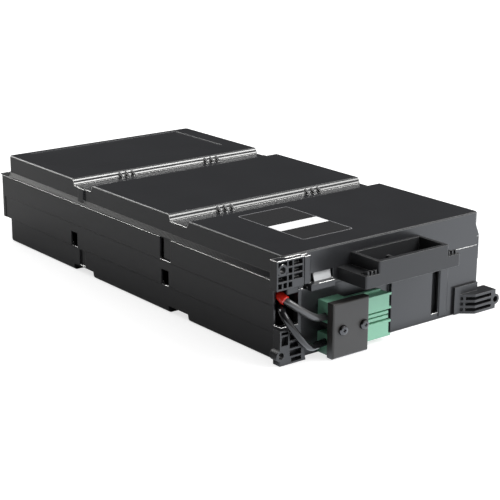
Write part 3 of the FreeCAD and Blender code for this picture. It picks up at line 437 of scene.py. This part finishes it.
@dataclass(frozen=True)
class Plastic:
    """A moulded plastic or rubber with a fine grain, softened edges, slight mottling and, where
    asked for, pale, metallic highlights painted on its edges.
    """

    name: str
    colour: Colour
    roughness: float
    index: float = 1.45
    # Pale colour, its share and Metallic that paint highlights on the edges.
    edge_highlight_colour: Colour = Tone.CASE_EDGE_HIGHLIGHT.value
    edge_highlight_share: float = 0.0
    edge_highlight_shine: float = 0.0
    edge_gain: float = 6.0
    edge_round: float = 0.5 * MM
    rise_gain: float = 5.0
    rise_from: float = 0.3
    quiet: tuple[Region, ...] = ()
    hatch: HatchHighlights | None = None
    cloud_pitch: float = 45.0 * MM
    grain_pitch: float = 0.7 * MM
    grain_height: float = 0.012 * MM
    mottling: float = 0.05
    tone_change: float = 0.12

    def edges(self, bench: Bench, where: Sock, rounded: Sock, flat: Sock) -> Sock:
        """Find the edges that get a painted highlight, and with a hatch only those that face
        upwards.

        Args:
            bench: The material's bench.
            where: Object coordinates.
            rounded: The normal that is rounded over the edges.
            flat: The faces' own normal.

        Returns:
            1 on an edge, where the highlight is painted, and 0 away from it and in the quiet
            regions.
        """
        along = bench.vector("DOT_PRODUCT", rounded, flat, "Value")
        edge = ((1.0 - along) * self.edge_gain).held()
        for region in self.quiet:
            edge = edge * (1.0 - region.mask(bench, where))
        if self.hatch:
            rise = bench.parts(rounded)[2]
            edge = edge * (rise * self.rise_gain - self.rise_from).held()
        return edge

    def material(self) -> bpy.types.Material:
        """Build the material.

        Returns:
            The new material.
        """
        bench = Bench(self.name)
        where = bench.place()
        broad = bench.noise(where, self.cloud_pitch, detail=3.0)
        fine = bench.noise(where, self.grain_pitch)
        rounded = bench.rounded(self.edge_round)
        flat = bench.node("ShaderNodeNewGeometry")["True Normal"]
        edge = self.edges(bench, where, rounded, flat)
        colour = bench.blend(broad, shaded(self.colour, 1.0 - self.tone_change),
                             shaded(self.colour, 1.0 + self.tone_change))
        rough = self.roughness + (broad - 0.5) * self.mottling + (fine - 0.5) * self.mottling
        # Metallic on the edges, and on the hatch's bands, paints highlights there.
        highlight_shine = edge * self.edge_highlight_shine
        if self.hatch:
            lines, bands, dullness = self.hatch.laid(bench, where, flat)
            colour = bench.blend(lines + bands, colour, self.edge_highlight_colour)
            rough = rough + dullness
            highlight_shine = highlight_shine + bands * self.hatch.band_highlight_shine
        # Edges blend towards the pale edge colour as a painted highlight.
        if self.edge_highlight_share:
            colour = bench.blend(edge * self.edge_highlight_share, colour, self.edge_highlight_colour)
        return bench.finish({
            "Base Color": colour, "Roughness": rough, "IOR": self.index, "Metallic": highlight_shine,
            "Normal": bench.bump(fine, self.grain_height, normal=rounded)})


@dataclass(frozen=True)
class Metal:
    """A sheet metal or plated screw with fine brushing along one axis."""

    name: str
    colour: Colour
    roughness: float
    brushing: Place = (1.0, 8.0, 8.0)
    streak_pitch: float = 1.2 * MM
    streak_height: float = 0.01 * MM
    streak_swing: float = 0.15
    stain_pitch: float = 6.0 * MM
    stain_shade: float = 0.8
    edge_round: float = 0.25 * MM

    def material(self) -> bpy.types.Material:
        """Build the material.

        Returns:
            The new material.
        """
        bench = Bench(self.name)
        where = bench.place()
        brushed = bench.stretched(where, self.brushing)
        streaks = bench.noise(brushed, self.streak_pitch, detail=3.0)
        stain = bench.noise(where, self.stain_pitch, detail=3.0)
        return bench.finish({
            "Base Color": bench.blend(stain, shaded(self.colour, self.stain_shade), self.colour),
            "Roughness": self.roughness + (streaks - 0.5) * self.streak_swing,
            "Metallic": 1.0,
            "Normal": bench.bump(streaks, self.streak_height, strength=0.6,
                                 normal=bench.rounded(self.edge_round))})


@dataclass(frozen=True)
class Foam:
    """Closed-cell foam with fine pores."""

    name: str
    colour: Colour
    roughness: float = 0.9
    roughness_swing: float = 0.1
    cell_pitch: float = 1.1 * MM
    pore_depth: float = 0.15 * MM
    pore_stops: tuple[tuple[float, float], ...] = ((0.15, 0.0), (0.6, 1.0))
    pore_shade: float = 0.55

    def material(self) -> bpy.types.Material:
        """Build the material.

        Returns:
            The new material.
        """
        bench = Bench(self.name)
        cells = bench.node("ShaderNodeTexVoronoi", {"feature": "F1"}, {
            "Vector": bench.place(), "Scale": 1.0 / self.cell_pitch})["Distance"]
        pores = bench.node("ShaderNodeValToRGB", {"stops": self.pore_stops},
                           {"Fac": cells})["Color"]
        return bench.finish({
            "Base Color": bench.blend(cells, shaded(self.colour, self.pore_shade), self.colour),
            "Roughness": self.roughness + (cells - 0.5) * self.roughness_swing,
            "Normal": bench.bump(pores, self.pore_depth, strength=0.8)})


@dataclass(frozen=True)
class Printed:
    """Ink or film on the lid's label, with a little unevenness."""

    name: str
    colour: Colour
    roughness: float
    index: float = 1.3
    cloud_pitch: float = 9.0 * MM
    cloud_shade: float = 0.92
    roughness_swing: float = 0.08
    ripple_pitch: float = 1.5 * MM
    ripple_height: float = 0.01 * MM

    def material(self) -> bpy.types.Material:
        """Build the material.

        Returns:
            The new material.
        """
        bench = Bench(self.name)
        where = bench.place()
        uneven = bench.noise(where, self.cloud_pitch, detail=4.0)
        ripple = bench.noise(where, self.ripple_pitch)
        return bench.finish({
            "Base Color": bench.blend(uneven, shaded(self.colour, self.cloud_shade), self.colour),
            "Roughness": self.roughness + (uneven - 0.5) * self.roughness_swing,
            "IOR": self.index,
            "Normal": bench.bump(ripple, self.ripple_height, strength=0.4)})


def paint(node: str, material: bpy.types.Material) -> None:
    """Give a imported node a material.

    Args:
        node: The node's name.
        material: The material for all its faces.
    """
    slots = frame["nodes"][node].data.materials
    slots.clear()
    slots.append(material)
    LOG.info("finish %s on %s", material.name, node)


def new_piece(name: str, mesh: bpy.types.Mesh, material: bpy.types.Material,
              replaced: Iterable[str] = (), smooth: bool = False) -> bpy.types.Object:
    """Add a finished piece that rides on the cartridge.

    Args:
        name: The piece's name.
        mesh: Its mesh, in place in the frame.
        material: Its material.
        replaced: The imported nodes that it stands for.
        smooth: Whether its faces are shaded smooth.

    Returns:
        The piece.
    """
    mesh.name = name
    mesh.materials.clear()
    mesh.materials.append(material)
    mesh.polygons.foreach_set("use_smooth", [smooth] * len(mesh.polygons))
    piece = bpy.data.objects.new(name, mesh)
    bpy.context.scene.collection.objects.link(piece)
    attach(piece, "root")
    names = list(replaced)
    if names:
        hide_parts(*names)
    LOG.info("piece %s, %d faces, for %s", name, len(mesh.polygons), names or "no node")
    return piece


def mesh_of(build: bmesh.types.BMesh, name: str) -> bpy.types.Mesh:
    """Turn a bmesh into a mesh with its faces outwards.

    Args:
        build: The bmesh, which is freed.
        name: The mesh's name.

    Returns:
        The mesh.
    """
    bmesh.ops.remove_doubles(build, verts=build.verts, dist=MERGE_WITHIN)
    bmesh.ops.recalc_face_normals(build, faces=build.faces)
    mesh = bpy.data.meshes.new(name)
    build.to_mesh(mesh)
    build.free()
    return mesh


def add_ring(build: bmesh.types.BMesh, points: Sequence[Vector]) -> list[bmesh.types.BMVert]:
    """Add one ring of vertices and return it."""
    return [build.verts.new(point) for point in points]


def skin(build: bmesh.types.BMesh, rings: Sequence[Sequence[bmesh.types.BMVert]],
         capped: bool = True) -> None:
    """Join rings of vertices in order by quads.

    Args:
        build: The bmesh that they are in.
        rings: Rings with the same number of vertices.
        capped: Whether the first and last rings are closed by a face.
    """
    for low, high in zip(rings, rings[1:]):
        count = len(low)
        for here in range(count):
            after = (here + 1) % count
            build.faces.new((low[here], low[after], high[after], high[here]))
    if capped:
        build.faces.new(rings[0][::-1])
        build.faces.new(rings[-1])


def smooth_line(name: str, points: Sequence[Place], steps: int = 14) -> list[Vector]:
    """Read points from a smooth NURBS line that has these control points.

    Args:
        name: The line's name.
        points: Its control points, in metres.
        steps: The points that are read for each span.

    Returns:
        Closely spaced points along the line.
    """
    curve = bpy.data.curves.new(name, "CURVE")
    curve.dimensions = "3D"
    curve.resolution_u = steps
    spline = curve.splines.new("NURBS")
    spline.points.add(len(points) - 1)
    for item, point in zip(spline.points, points):
        item.co = (*point, 1.0)
    spline.order_u = 3
    spline.use_endpoint_u = True
    holder = bpy.data.objects.new(name, curve)
    bpy.context.scene.collection.objects.link(holder)
    bpy.context.view_layer.update()
    graph = bpy.context.evaluated_depsgraph_get()
    mesh = bpy.data.meshes.new_from_object(holder.evaluated_get(graph))
    line = [vertex.co.copy() for vertex in mesh.vertices]
    bpy.data.meshes.remove(mesh)
    bpy.data.objects.remove(holder)
    bpy.data.curves.remove(curve)
    return line


def tube_mesh(name: str, line: Sequence[Vector], radii: Sequence[float],
              sides: int = 24) -> bpy.types.Mesh:
    """Wrap a closed round skin about a line.

    Args:
        name: The mesh's name.
        line: Points along its middle.
        radii: The radius at each point.
        sides: The vertices of each ring.

    Returns:
        The mesh.
    """
    build = bmesh.new()
    rings = []
    across = (line[1] - line[0]).orthogonal().normalized()
    for number, (point, radius) in enumerate(zip(line, radii)):
        before, after = line[max(number - 1, 0)], line[min(number + 1, len(line) - 1)]
        along = (after - before).normalized()
        across = (across - along * across.dot(along)).normalized()
        upward = along.cross(across)
        rings.append(add_ring(build, [
            point + (across * math.cos(turn) + upward * math.sin(turn)) * radius
            for turn in (math.tau * step / sides for step in range(sides))]))
    skin(build, rings)
    return mesh_of(build, name)


def plate_mesh(name: str, outline: Sequence[tuple[float, float]], low: float,
               high: float, hole: Sequence[tuple[float, float]] = ()) -> bpy.types.Mesh:
    """Make a level plate, or a level frame when it has a hole.

    Args:
        name: The mesh's name.
        outline: Its outline, in metres.
        low: The height of its underside.
        high: The height of its top.
        hole: An outline with the same number of points, or nothing.

    Returns:
        The mesh.
    """
    build = bmesh.new()
    outer = [add_ring(build, [Vector((*point, up)) for point in outline])
             for up in (low, high)]
    if hole:
        inner = [add_ring(build, [Vector((*point, up)) for point in hole])
                 for up in (low, high)]
        skin(build, [outer[0], outer[1], inner[1], inner[0], outer[0]], capped=False)
    else:
        skin(build, outer)
    return mesh_of(build, name)


def rounded_rectangle(left: float, front: float, right: float, back: float,
                      radius: float, steps: int = 5) -> list[tuple[float, float]]:
    """Return the outline of a level rectangle with round corners.

    Args:
        left: Its lowest X.
        front: Its lowest Y.
        right: Its highest X.
        back: Its highest Y.
        radius: The radius of its corners.
        steps: The points of each corner, less one.

    Returns:
        The outline's points.
    """
    corners = ((right - radius, back - radius, 0), (left + radius, back - radius, 1),
               (left + radius, front + radius, 2), (right - radius, front + radius, 3))
    outline = []
    for across, along, quarter in corners:
        for step in range(steps + 1):
            turn = (quarter + step / steps) * math.pi / 2
            outline.append((across + radius * math.cos(turn), along + radius * math.sin(turn)))
    return outline


# Boxes where the painted edge highlights are switched off: the rear lid and the lattice.
REAR_LID = Region((-0.076, 0.099, 0.060), (0.076, 0.172, 0.080))
LATTICE = Region((-0.100, -0.205, 0.038), (-0.062, -0.1765, 0.0685))


@dataclass
class Case:
    """The moulded tray and cover with their ribbed ears."""

    mouldings: tuple[str, ...] = ("upper_cover", "lower_tray")
    ears: tuple[str, ...] = ("corner_ear", "leg_ear")
    # The shell paints pale, metallic highlights on its upward edges, plus the hatch's highlight
    # lines and bands; the ears' ribs get fainter painted edge highlights.
    shell: Plastic = Plastic("case_black", Tone.CASE.value, 0.30, 1.40, edge_highlight_share=1.0,
                             edge_highlight_shine=0.6, edge_round=0.9 * MM, grain_height=0.003 * MM,
                             quiet=(REAR_LID, LATTICE), hatch=HatchHighlights())
    ribs: Plastic = Plastic("ear_black", Tone.CASE.value, 0.38, 1.38, edge_highlight_share=0.12,
                            edge_highlight_shine=0.1, edge_round=0.35 * MM, grain_height=0.004 * MM)

    def dress(self) -> None:
        """Finish the four mouldings."""
        for nodes, finish in ((self.mouldings, self.shell), (self.ears, self.ribs)):
            material = finish.material()
            for node in nodes:
                paint(node, material)


@dataclass
class Handle:
    """The pull handle and the pale flag beside it."""

    # The grip's edges carry a faint painted highlight.
    grip: Plastic = Plastic("handle_black", Tone.HANDLE.value, 0.32, 1.30, edge_highlight_share=0.20,
                            edge_round=0.4 * MM)
    flag: Plastic = Plastic("flag_pale", Tone.FLAG.value, 0.45, 1.45, edge_round=0.2 * MM)

    def dress(self) -> None:
        """Finish the handle and the flag."""
        paint("pull_handle", self.grip.material())
        paint("label_flag", self.flag.material())


@dataclass
class Batteries:
    """The three sealed batteries, their blades, foam strips and receptacles."""

    bays: tuple[str, ...] = ("front", "middle", "rear")
    foam_round: float = 0.9 * MM
    foam_inset: float = 0.05 * MM
    foam_corner: float = 3.0 * MM
    foam_rows: tuple[tuple[float, float], ...] = (
        (0.0, 1.0), (0.3, 0.0), (0.7, 0.0), (1.0, 1.0))
    jar: Plastic = Plastic("battery_grey", Tone.BATTERY.value, 0.55)
    blade: Metal = Metal("tinned_tab", Tone.TINNED.value, 0.35)
    brass: Metal = Metal("receptacle_brass", Tone.BRASS.value, 0.3)
    foam: Foam = Foam("grey_foam", Tone.FOAM.value)

    def foam_mesh(self, node: str) -> bpy.types.Mesh:
        """Make one crowned foam strip inside its node's box.

        Args:
            node: The foam strip's node.

        Returns:
            The mesh.
        """
        low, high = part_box(node)
        build = bmesh.new()
        rings = []
        for share, inward in self.foam_rows:
            margin = self.foam_inset + inward * self.foam_round
            up = low.z + self.foam_inset + share * (high.z - low.z - 2 * self.foam_inset)
            outline = rounded_rectangle(low.x + margin, low.y + margin, high.x - margin,
                                        high.y - margin, self.foam_corner)
            rings.append(add_ring(build, [Vector((*point, up)) for point in outline]))
        skin(build, rings)
        return mesh_of(build, f"{node}_strip")

    def dress(self) -> None:
        """Finish the batteries and put the foam strips in."""
        jar, blade, foam = self.jar.material(), self.blade.material(), self.foam.material()
        for bay in self.bays:
            paint(f"battery_{bay}", jar)
            paint(f"battery_tabs_{bay}", blade)
            node = f"foam_pad_{bay}"
            piece = new_piece(f"foam_strip_{bay}", self.foam_mesh(node), foam,
                              [node])
        paint("lead_receptacles", self.brass.material())


@dataclass
class Harness:
    """The leads between the batteries and out to the two plugs."""

    radius: float = 2.5 * MM
    sleeve_radius: float = 3.3 * MM
    sleeve_front: float = -173.8 * MM
    sleeve_back: float = -163.0 * MM
    sleeve_side: float = -76.0 * MM
    sleeve_lip: float = 0.02
    sleeve_neck: float = 0.86
    sheath: Plastic = Plastic("lead_black", Tone.SHEATH.value, 0.22, 1.5, mottling=0.03,
                              grain_pitch=1.5 * MM, edge_round=0.1 * MM)
    # The lower lead has the same black sheath; this darker, glossier copy paints its shade.
    shaded_sheath: Plastic = Plastic("lead_shaded", Tone.SHADED_SHEATH.value, 0.13, 1.38, mottling=0.03,
                                   grain_pitch=1.5 * MM, edge_round=0.1 * MM)
    red: Plastic = Plastic("sleeve_red", Tone.RED.value, 0.16, 1.55, mottling=0.02,
                           grain_pitch=1.5 * MM, edge_round=0.2 * MM)
    series: tuple[str, ...] = ("series_lead_one", "series_lead_two")
    positive: tuple[Place, ...] = (
        (69.0, 176.2, 48.2), (55.0, 176.2, 48.2), (9.0, 176.2, 32.2), (-62.0, 176.2, 32.2),
        (-72.5, 174.0, 32.2), (-72.5, 164.0, 32.2), (-72.5, -116.0, 32.2),
        (-79.0, -156.0, 44.0), (-87.0, -173.0, 43.0), (-78.5, -179.0, 36.0),
        (-66.0, -181.0, 27.6), (-59.0, -181.0, 26.7), (-46.0, -181.0, 26.7))
    negative: tuple[Place, ...] = (
        (-66.0, -73.3, 48.2), (-72.0, -73.3, 48.2), (-81.0, -74.5, 48.2), (-81.5, -84.0, 46.9),
        (-83.0, -156.0, 35.0), (-84.3, -168.5, 36.2), (-91.5, -179.5, 34.5),
        (-84.0, -185.5, 20.5), (-72.0, -183.0, 9.0), (-63.5, -181.2, 8.6),
        (-57.5, -181.0, 9.3), (-46.0, -181.0, 9.3))

    def lead(self, name: str, route: Sequence[Place], node: str,
             material: bpy.types.Material) -> list[Vector]:
        """Lay one smooth lead in place of its packed bar.

        Args:
            name: The piece's name.
            route: Its control points, in millimetres.
            node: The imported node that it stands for.
            material: The sheath.

        Returns:
            Points along its middle.
        """
        line = smooth_line(name, [tuple(part * MM for part in point) for point in route])
        mesh = tube_mesh(name, line, [self.radius] * len(line))
        new_piece(name, mesh, material, [node], smooth=True)
        return line

    def sleeve(self, line: Sequence[Vector]) -> None:
        """Slide the red sleeve over the positive lead where it leaves the case.

        Args:
            line: Points along the lead's middle.
        """
        part = [point for point in line if point.x < self.sleeve_side
                and self.sleeve_front < point.y < self.sleeve_back]
        first_lip = part[0] + (part[0] - part[1]) * self.sleeve_lip
        last_lip = part[-1] + (part[-1] - part[-2]) * self.sleeve_lip
        neck = self.sleeve_radius * self.sleeve_neck
        mesh = tube_mesh("red_sleeve_tube", [first_lip, *part, last_lip],
                         [neck, *[self.sleeve_radius] * len(part), neck])
        new_piece("red_sleeve_tube", mesh, self.red.material(), ["red_sleeve"],
                  smooth=True)

    def dress(self) -> None:
        """Lay the two long leads and the sleeve, and finish the two hidden ones."""
        sheath = self.sheath.material()
        for node in self.series:
            paint(node, sheath)
        line = self.lead("positive_cable", self.positive, "positive_lead", sheath)
        self.sleeve(line)
        shaded_copy = self.shaded_sheath.material()
        self.lead("negative_cable", self.negative, "negative_lead", shaded_copy)


@dataclass
class Plugs:
    """The two green plug housings and the contacts in them."""

    # The green's edges carry a paler painted highlight.
    green: Plastic = Plastic("plug_green", Tone.GREEN.value, 0.34, 1.5,
                             edge_highlight_colour=Tone.GREEN_EDGE_HIGHLIGHT.value, edge_highlight_share=0.35,
                             edge_round=0.4 * MM, grain_height=0.01 * MM)
    silver: Metal = Metal("contact_silver", Tone.SILVER.value, 0.28)

    def dress(self) -> None:
        """Finish both poles."""
        green, silver = self.green.material(), self.silver.material()
        for pole in ("lower", "upper"):
            paint(f"plug_housing_{pole}", green)
            paint(f"plug_contact_{pole}", silver)


@dataclass
class Bracket:
    """The cover over the cable ends and its two pan-head screws."""

    places: tuple[float, float] = (-51.5 * MM, -33.0 * MM)
    seat: float = -192.0 * MM
    height: float = 19.5 * MM
    head_radius: float = 3.5 * MM
    head_height: float = 2.2 * MM
    shank_radius: float = 1.4 * MM
    shank_length: float = 20.3 * MM
    cross_reach: float = 1.35 * MM
    cross_half: float = 0.42 * MM
    cross_depth: float = 1.2 * MM
    cross_taper: float = 0.7
    cross_steps: int = 6
    dome: tuple[tuple[float, float], ...] = (
        (1.0, 0.40), (0.96, 0.62), (0.84, 0.82), (0.55, 0.95), (0.2, 1.0), (0.0, 1.0))
    # The plate's edges carry a faint painted highlight.
    plate: Plastic = Plastic("bracket_black", Tone.BRACKET.value, 0.40, 1.36, edge_highlight_share=0.10,
                             edge_round=0.6 * MM, grain_height=0.02 * MM, grain_pitch=0.9 * MM)
    zinc: Metal = Metal("screw_black", Tone.SCREW.value, 0.20)

    def cross(self, turns: Sequence[float], share: float, depth: float) -> list[Vector]:
        """Return one outline of the cross recess.

        Args:
            turns: The angles of its points about the screw.
            share: Its size, as a share of the mouth's.
            depth: How deep it lies below the top of the head.

        Returns:
            The outline's points.
        """
        outline = []
        for turn in turns:
            across, up = math.cos(turn), math.sin(turn)
            reach = self.cross_reach / max(abs(across), abs(up))
            slim = self.cross_half / max(min(abs(across), abs(up)), NEARLY_ZERO)
            length = min(reach, max(slim, self.cross_half * math.sqrt(2.0))) * share
            outline.append(Vector((across * length, depth - self.head_height, up * length)))
        return outline

    def screw_mesh(self) -> bpy.types.Mesh:
        """Make one pan-head screw along +Y with its seat at the origin.

        Returns:
            The mesh.
        """
        build = bmesh.new()
        sides = 8 * self.cross_steps
        turns = [math.tau * step / sides for step in range(sides)]
        profile = [(-self.head_height * tall, self.head_radius * wide)
                   for tall, wide in self.dome]
        profile += [(0.0, self.shank_radius), (self.shank_length, self.shank_radius)]
        outlines = [self.cross(turns, self.cross_taper, self.cross_depth),
                    self.cross(turns, 1.0, 0.0)]
        outlines += [[Vector((radius * math.cos(turn), along, radius * math.sin(turn)))
                      for turn in turns] for along, radius in profile]
        skin(build, [add_ring(build, outline) for outline in outlines])
        return mesh_of(build, "pan_head_screw")

    def screw_tree(self, screw: bpy.types.Object,
                   material: bpy.types.Material) -> bpy.types.NodeTree:
        """Build the tree that sets one screw at each point.

        Args:
            screw: The object that holds one screw.
            material: The screws' material.

        Returns:
            The tree, with a named input for the screws' size.
        """
        tree = bpy.data.node_groups.new("set_screws", "GeometryNodeTree")
        face = tree.interface
        face.new_socket("Points", in_out="INPUT", socket_type="NodeSocketGeometry")
        size = face.new_socket("Screw size", in_out="INPUT", socket_type="NodeSocketFloat")
        size.default_value = 1.0
        face.new_socket("Screws", in_out="OUTPUT", socket_type="NodeSocketGeometry")
        bench = Bench(tree=tree)
        points = bench.node("NodeGroupInput")
        source = bench.node("GeometryNodeObjectInfo", {}, {"Object": screw})["Geometry"]
        placed = bench.node("GeometryNodeInstanceOnPoints", {}, {
            "Points": points["Points"], "Instance": source,
            "Scale": points["Screw size"]})["Instances"]
        real = bench.node("GeometryNodeRealizeInstances", {}, {"Geometry": placed})[0]
        coated = bench.node("GeometryNodeSetMaterial", {}, {
            "Geometry": real, "Material": material})[0]
        bench.node("NodeGroupOutput", {}, {"Screws": coated})
        return tree

    def screws(self, material: bpy.types.Material) -> bpy.types.Mesh:
        """Set the two screws by Geometry Nodes and read them back as one mesh.

        Args:
            material: The screws' material.

        Returns:
            The mesh of both screws.
        """
        scene = bpy.context.scene.collection.objects
        screw = bpy.data.objects.new("one_screw", self.screw_mesh())
        points = bpy.data.meshes.new("screw_points")
        points.from_pydata([(across, self.seat, self.height) for across in self.places], [], [])
        holder = bpy.data.objects.new("screw_points", points)
        scene.link(screw)
        scene.link(holder)
        modifier = holder.modifiers.new("set_screws", "NODES")
        modifier.node_group = self.screw_tree(screw, material)
        sockets = {item.name: item.identifier
                   for item in modifier.node_group.interface.items_tree
                   if item.in_out == "INPUT"}
        modifier[sockets["Screw size"]] = 1.0
        graph = bpy.context.evaluated_depsgraph_get()
        mesh = bpy.data.meshes.new_from_object(holder.evaluated_get(graph))
        holder.modifiers.clear()
        for item in (holder, screw):
            bpy.data.objects.remove(item)
        return mesh

    def dress(self) -> None:
        """Finish the cover and put the screws in."""
        paint("connector_bracket", self.plate.material())
        zinc = self.zinc.material()
        new_piece("pan_head_screws", self.screws(zinc), zinc, ["bracket_screws"])


@dataclass
class Label:
    """The black film on the front lid with a thin outline and a blank white bar."""

    line: float = 0.45 * MM
    ink_height: float = 0.05 * MM
    corner: float = 2.0 * MM
    inner_corner: float = 1.6 * MM
    bar_corner: float = 0.8 * MM
    film: Printed = Printed("label_film", Tone.FILM.value, 0.30, 1.2)
    ink: Printed = Printed("label_outline", Tone.INK.value, 0.5)
    white: Printed = Printed("label_white", Tone.BLANK.value, 0.5)
    bar: tuple[float, float, float, float] = (
        -54.4 * MM, -131.4 * MM, -11.6 * MM, -117.8 * MM)

    def dress(self) -> None:
        """Replace the label's plain film by a printed one."""
        low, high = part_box("lid_label")
        top = high.z - self.ink_height
        outer = rounded_rectangle(low.x, low.y, high.x, high.y, self.corner)
        new_piece("label_film", plate_mesh("label_film", outer, low.z, top),
                  self.film.material(), ["lid_label"])
        inner = rounded_rectangle(low.x + self.line, low.y + self.line, high.x - self.line,
                                  high.y - self.line, self.inner_corner)
        new_piece("label_outline", plate_mesh("label_outline", outer, top, high.z, inner),
                  self.ink.material())
        bar = rounded_rectangle(*self.bar, self.bar_corner)
        new_piece("label_bar", plate_mesh("label_bar", bar, top, high.z),
                  self.white.material())


@dataclass
class Lamp:
    """One square soft lamp."""

    name: str
    place: Place
    target: Place
    width: float
    watts: float

    def light(self) -> None:
        """Hang the lamp and turn it to its target."""
        data = bpy.data.lights.new(self.name, "AREA")
        data.shape = "SQUARE"
        data.size = self.width
        data.energy = self.watts
        item = bpy.data.objects.new(self.name, data)
        bpy.context.scene.collection.objects.link(item)
        aim = Vector(self.target) - Vector(self.place)
        item.matrix_world = (Matrix.Translation(self.place)
                             @ aim.to_track_quat("-Z", "Y").to_matrix().to_4x4())


@dataclass
class Studio:
    """The floor, the world, the lamps and the camera.

    Mirrored rays see a dim world, and a floor glowing brighter than white in front of the
    cartridge, which paints a reflected sheen on the case's front faces.
    """

    floor_half: float = 4.0
    floor_colour: Colour = (0.45, 0.45, 0.45)
    floor_roughness: float = 0.85
    floor_lift: float = 0.72
    lift_from: float = 0.25
    lift_gain: float = 1.2
    # Glow of the floor ahead, seen only in reflections as a painted sheen.
    front_sheen_glow: Colour = (2.11, 2.23, 2.4)
    front_from: float = 0.17
    front_gain: float = 60.0
    world_level: float = 0.06
    glossy_level: float = 0.03
    bright_level: float = 1.7
    bright_way: Place = (0.58, -0.76, 0.30)
    eye: Place = (-0.6393, -0.8395, 0.3382)
    backward: Place = (-0.594, -0.750, 0.2895)
    roll: float = 0.0055
    lens: float = 103.3
    sensor: float = 36.0
    sight: float = 20.0
    shift: tuple[float, float] = (-0.0045, -0.0029)
    lamps: tuple[Lamp, ...] = field(default_factory=lambda: (
        Lamp("right_high", (0.82, -0.35, 1.02), (0.0, 0.0, 0.05), 0.8, 11.0),
        Lamp("back_high", (-0.25, 1.20, 0.98), (0.0, 0.0, 0.05), 0.9, 16.0),
        Lamp("front_high", (0.85, -1.05, 1.45), (0.0, -0.10, 0.03), 0.7, 14.0)))

    def floor_material(self) -> bpy.types.Material:
        """Build the floor's finish, white to the camera and plain grey to soft light, with a glow
        ahead of the cartridge that only mirrored rays see, painted as a reflection on the front
        faces.

        Returns:
            The new material.
        """
        bench = Bench("floor_white")
        ray = bench.node("ShaderNodeLightPath")
        where = bench.place()
        away = bench.node("ShaderNodeVectorMath", {"operation": "LENGTH"}, {0: where})["Value"]
        seen = (ray["Is Camera Ray"] + ray["Is Transmission Ray"]).held()
        farther = ((away - self.lift_from) * self.lift_gain).held()
        lift = self.floor_lift + farther * (1.0 - self.floor_lift)
        ahead = ((-bench.parts(where)[1] - self.front_from) * self.front_gain).held()
        glow = bench.blend(seen * lift, BLACK, WHITE)
        # Painted reflection: the floor ahead of the cartridge glows brighter than white for
        # mirrored rays only.
        glow = bench.blend(ray["Is Glossy Ray"] * ahead, glow, self.front_sheen_glow)
        return bench.finish({
            "Base Color": (*self.floor_colour, 1.0), "Roughness": self.floor_roughness,
            "Emission Color": glow, "Emission Strength": 1.0})

    def floor(self) -> None:
        """Lay the plain pale floor."""
        half = self.floor_half
        build = bmesh.new()
        build.faces.new(add_ring(build, [
            Vector(corner) for corner in ((-half, -half, 0.0), (half, -half, 0.0),
                                          (half, half, 0.0), (-half, half, 0.0))]))
        mesh = bpy.data.meshes.new("floor")
        build.to_mesh(mesh)
        build.free()
        mesh.materials.append(self.floor_material())
        item = bpy.data.objects.new("floor", mesh)
        bpy.context.scene.collection.objects.link(item)

    def world(self) -> None:
        """Set a white background for the camera and soft light for the rest."""
        world = bpy.data.worlds.new("studio")
        world.use_nodes = True
        bpy.context.scene.world = world
        bench = Bench(tree=world.node_tree)
        ray = bench.node("ShaderNodeLightPath")
        toward = bench.vector("DOT_PRODUCT", bench.place(), self.bright_way, "Value").held()
        seen = (ray["Is Camera Ray"] + ray["Is Transmission Ray"]).held()
        plain, mirrored, bright = ((level,) * 3 for level in (
            self.world_level, self.glossy_level, self.world_level + self.bright_level))
        colour = bench.blend(ray["Is Glossy Ray"], plain, mirrored)
        colour = bench.blend(toward * toward, colour, bright)
        colour = bench.blend(seen, colour, WHITE)
        back = bench.node("ShaderNodeBackground", {}, {"Color": colour, "Strength": 1.0})[0]
        bench.node("ShaderNodeOutputWorld", {}, {"Surface": back})

    def camera(self) -> None:
        """Place the camera."""
        data = bpy.data.cameras.new("camera")
        data.lens = self.lens
        data.sensor_width = self.sensor
        data.shift_x, data.shift_y = self.shift
        data.clip_end = self.sight
        item = bpy.data.objects.new("camera", data)
        bpy.context.scene.collection.objects.link(item)
        back = Vector(self.backward).normalized()
        right = Vector((0.0, 0.0, 1.0)).cross(back).normalized()
        up = back.cross(right)
        turn = Matrix((right, up, back)).transposed().to_4x4()
        item.matrix_world = (Matrix.Translation(self.eye) @ turn
                             @ Matrix.Rotation(self.roll, 4, "Z"))
        bpy.context.scene.camera = item

    def build(self) -> None:
        """Set up the whole studio."""
        self.floor()
        self.world()
        for lamp in self.lamps:
            lamp.light()
        self.camera()
        bpy.context.scene.view_settings.view_transform = "Standard"


def main() -> None:
    """Dress the cartridge piece by piece and set up the studio."""
    logging.basicConfig(level=logging.INFO, format="%(name)s: %(message)s")
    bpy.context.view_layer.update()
    for part in (Case(), Handle(), Batteries(), Harness(), Plugs(), Bracket(), Label()):
        part.dress()
    Studio().build()


if __name__ == "__main__":
    main()
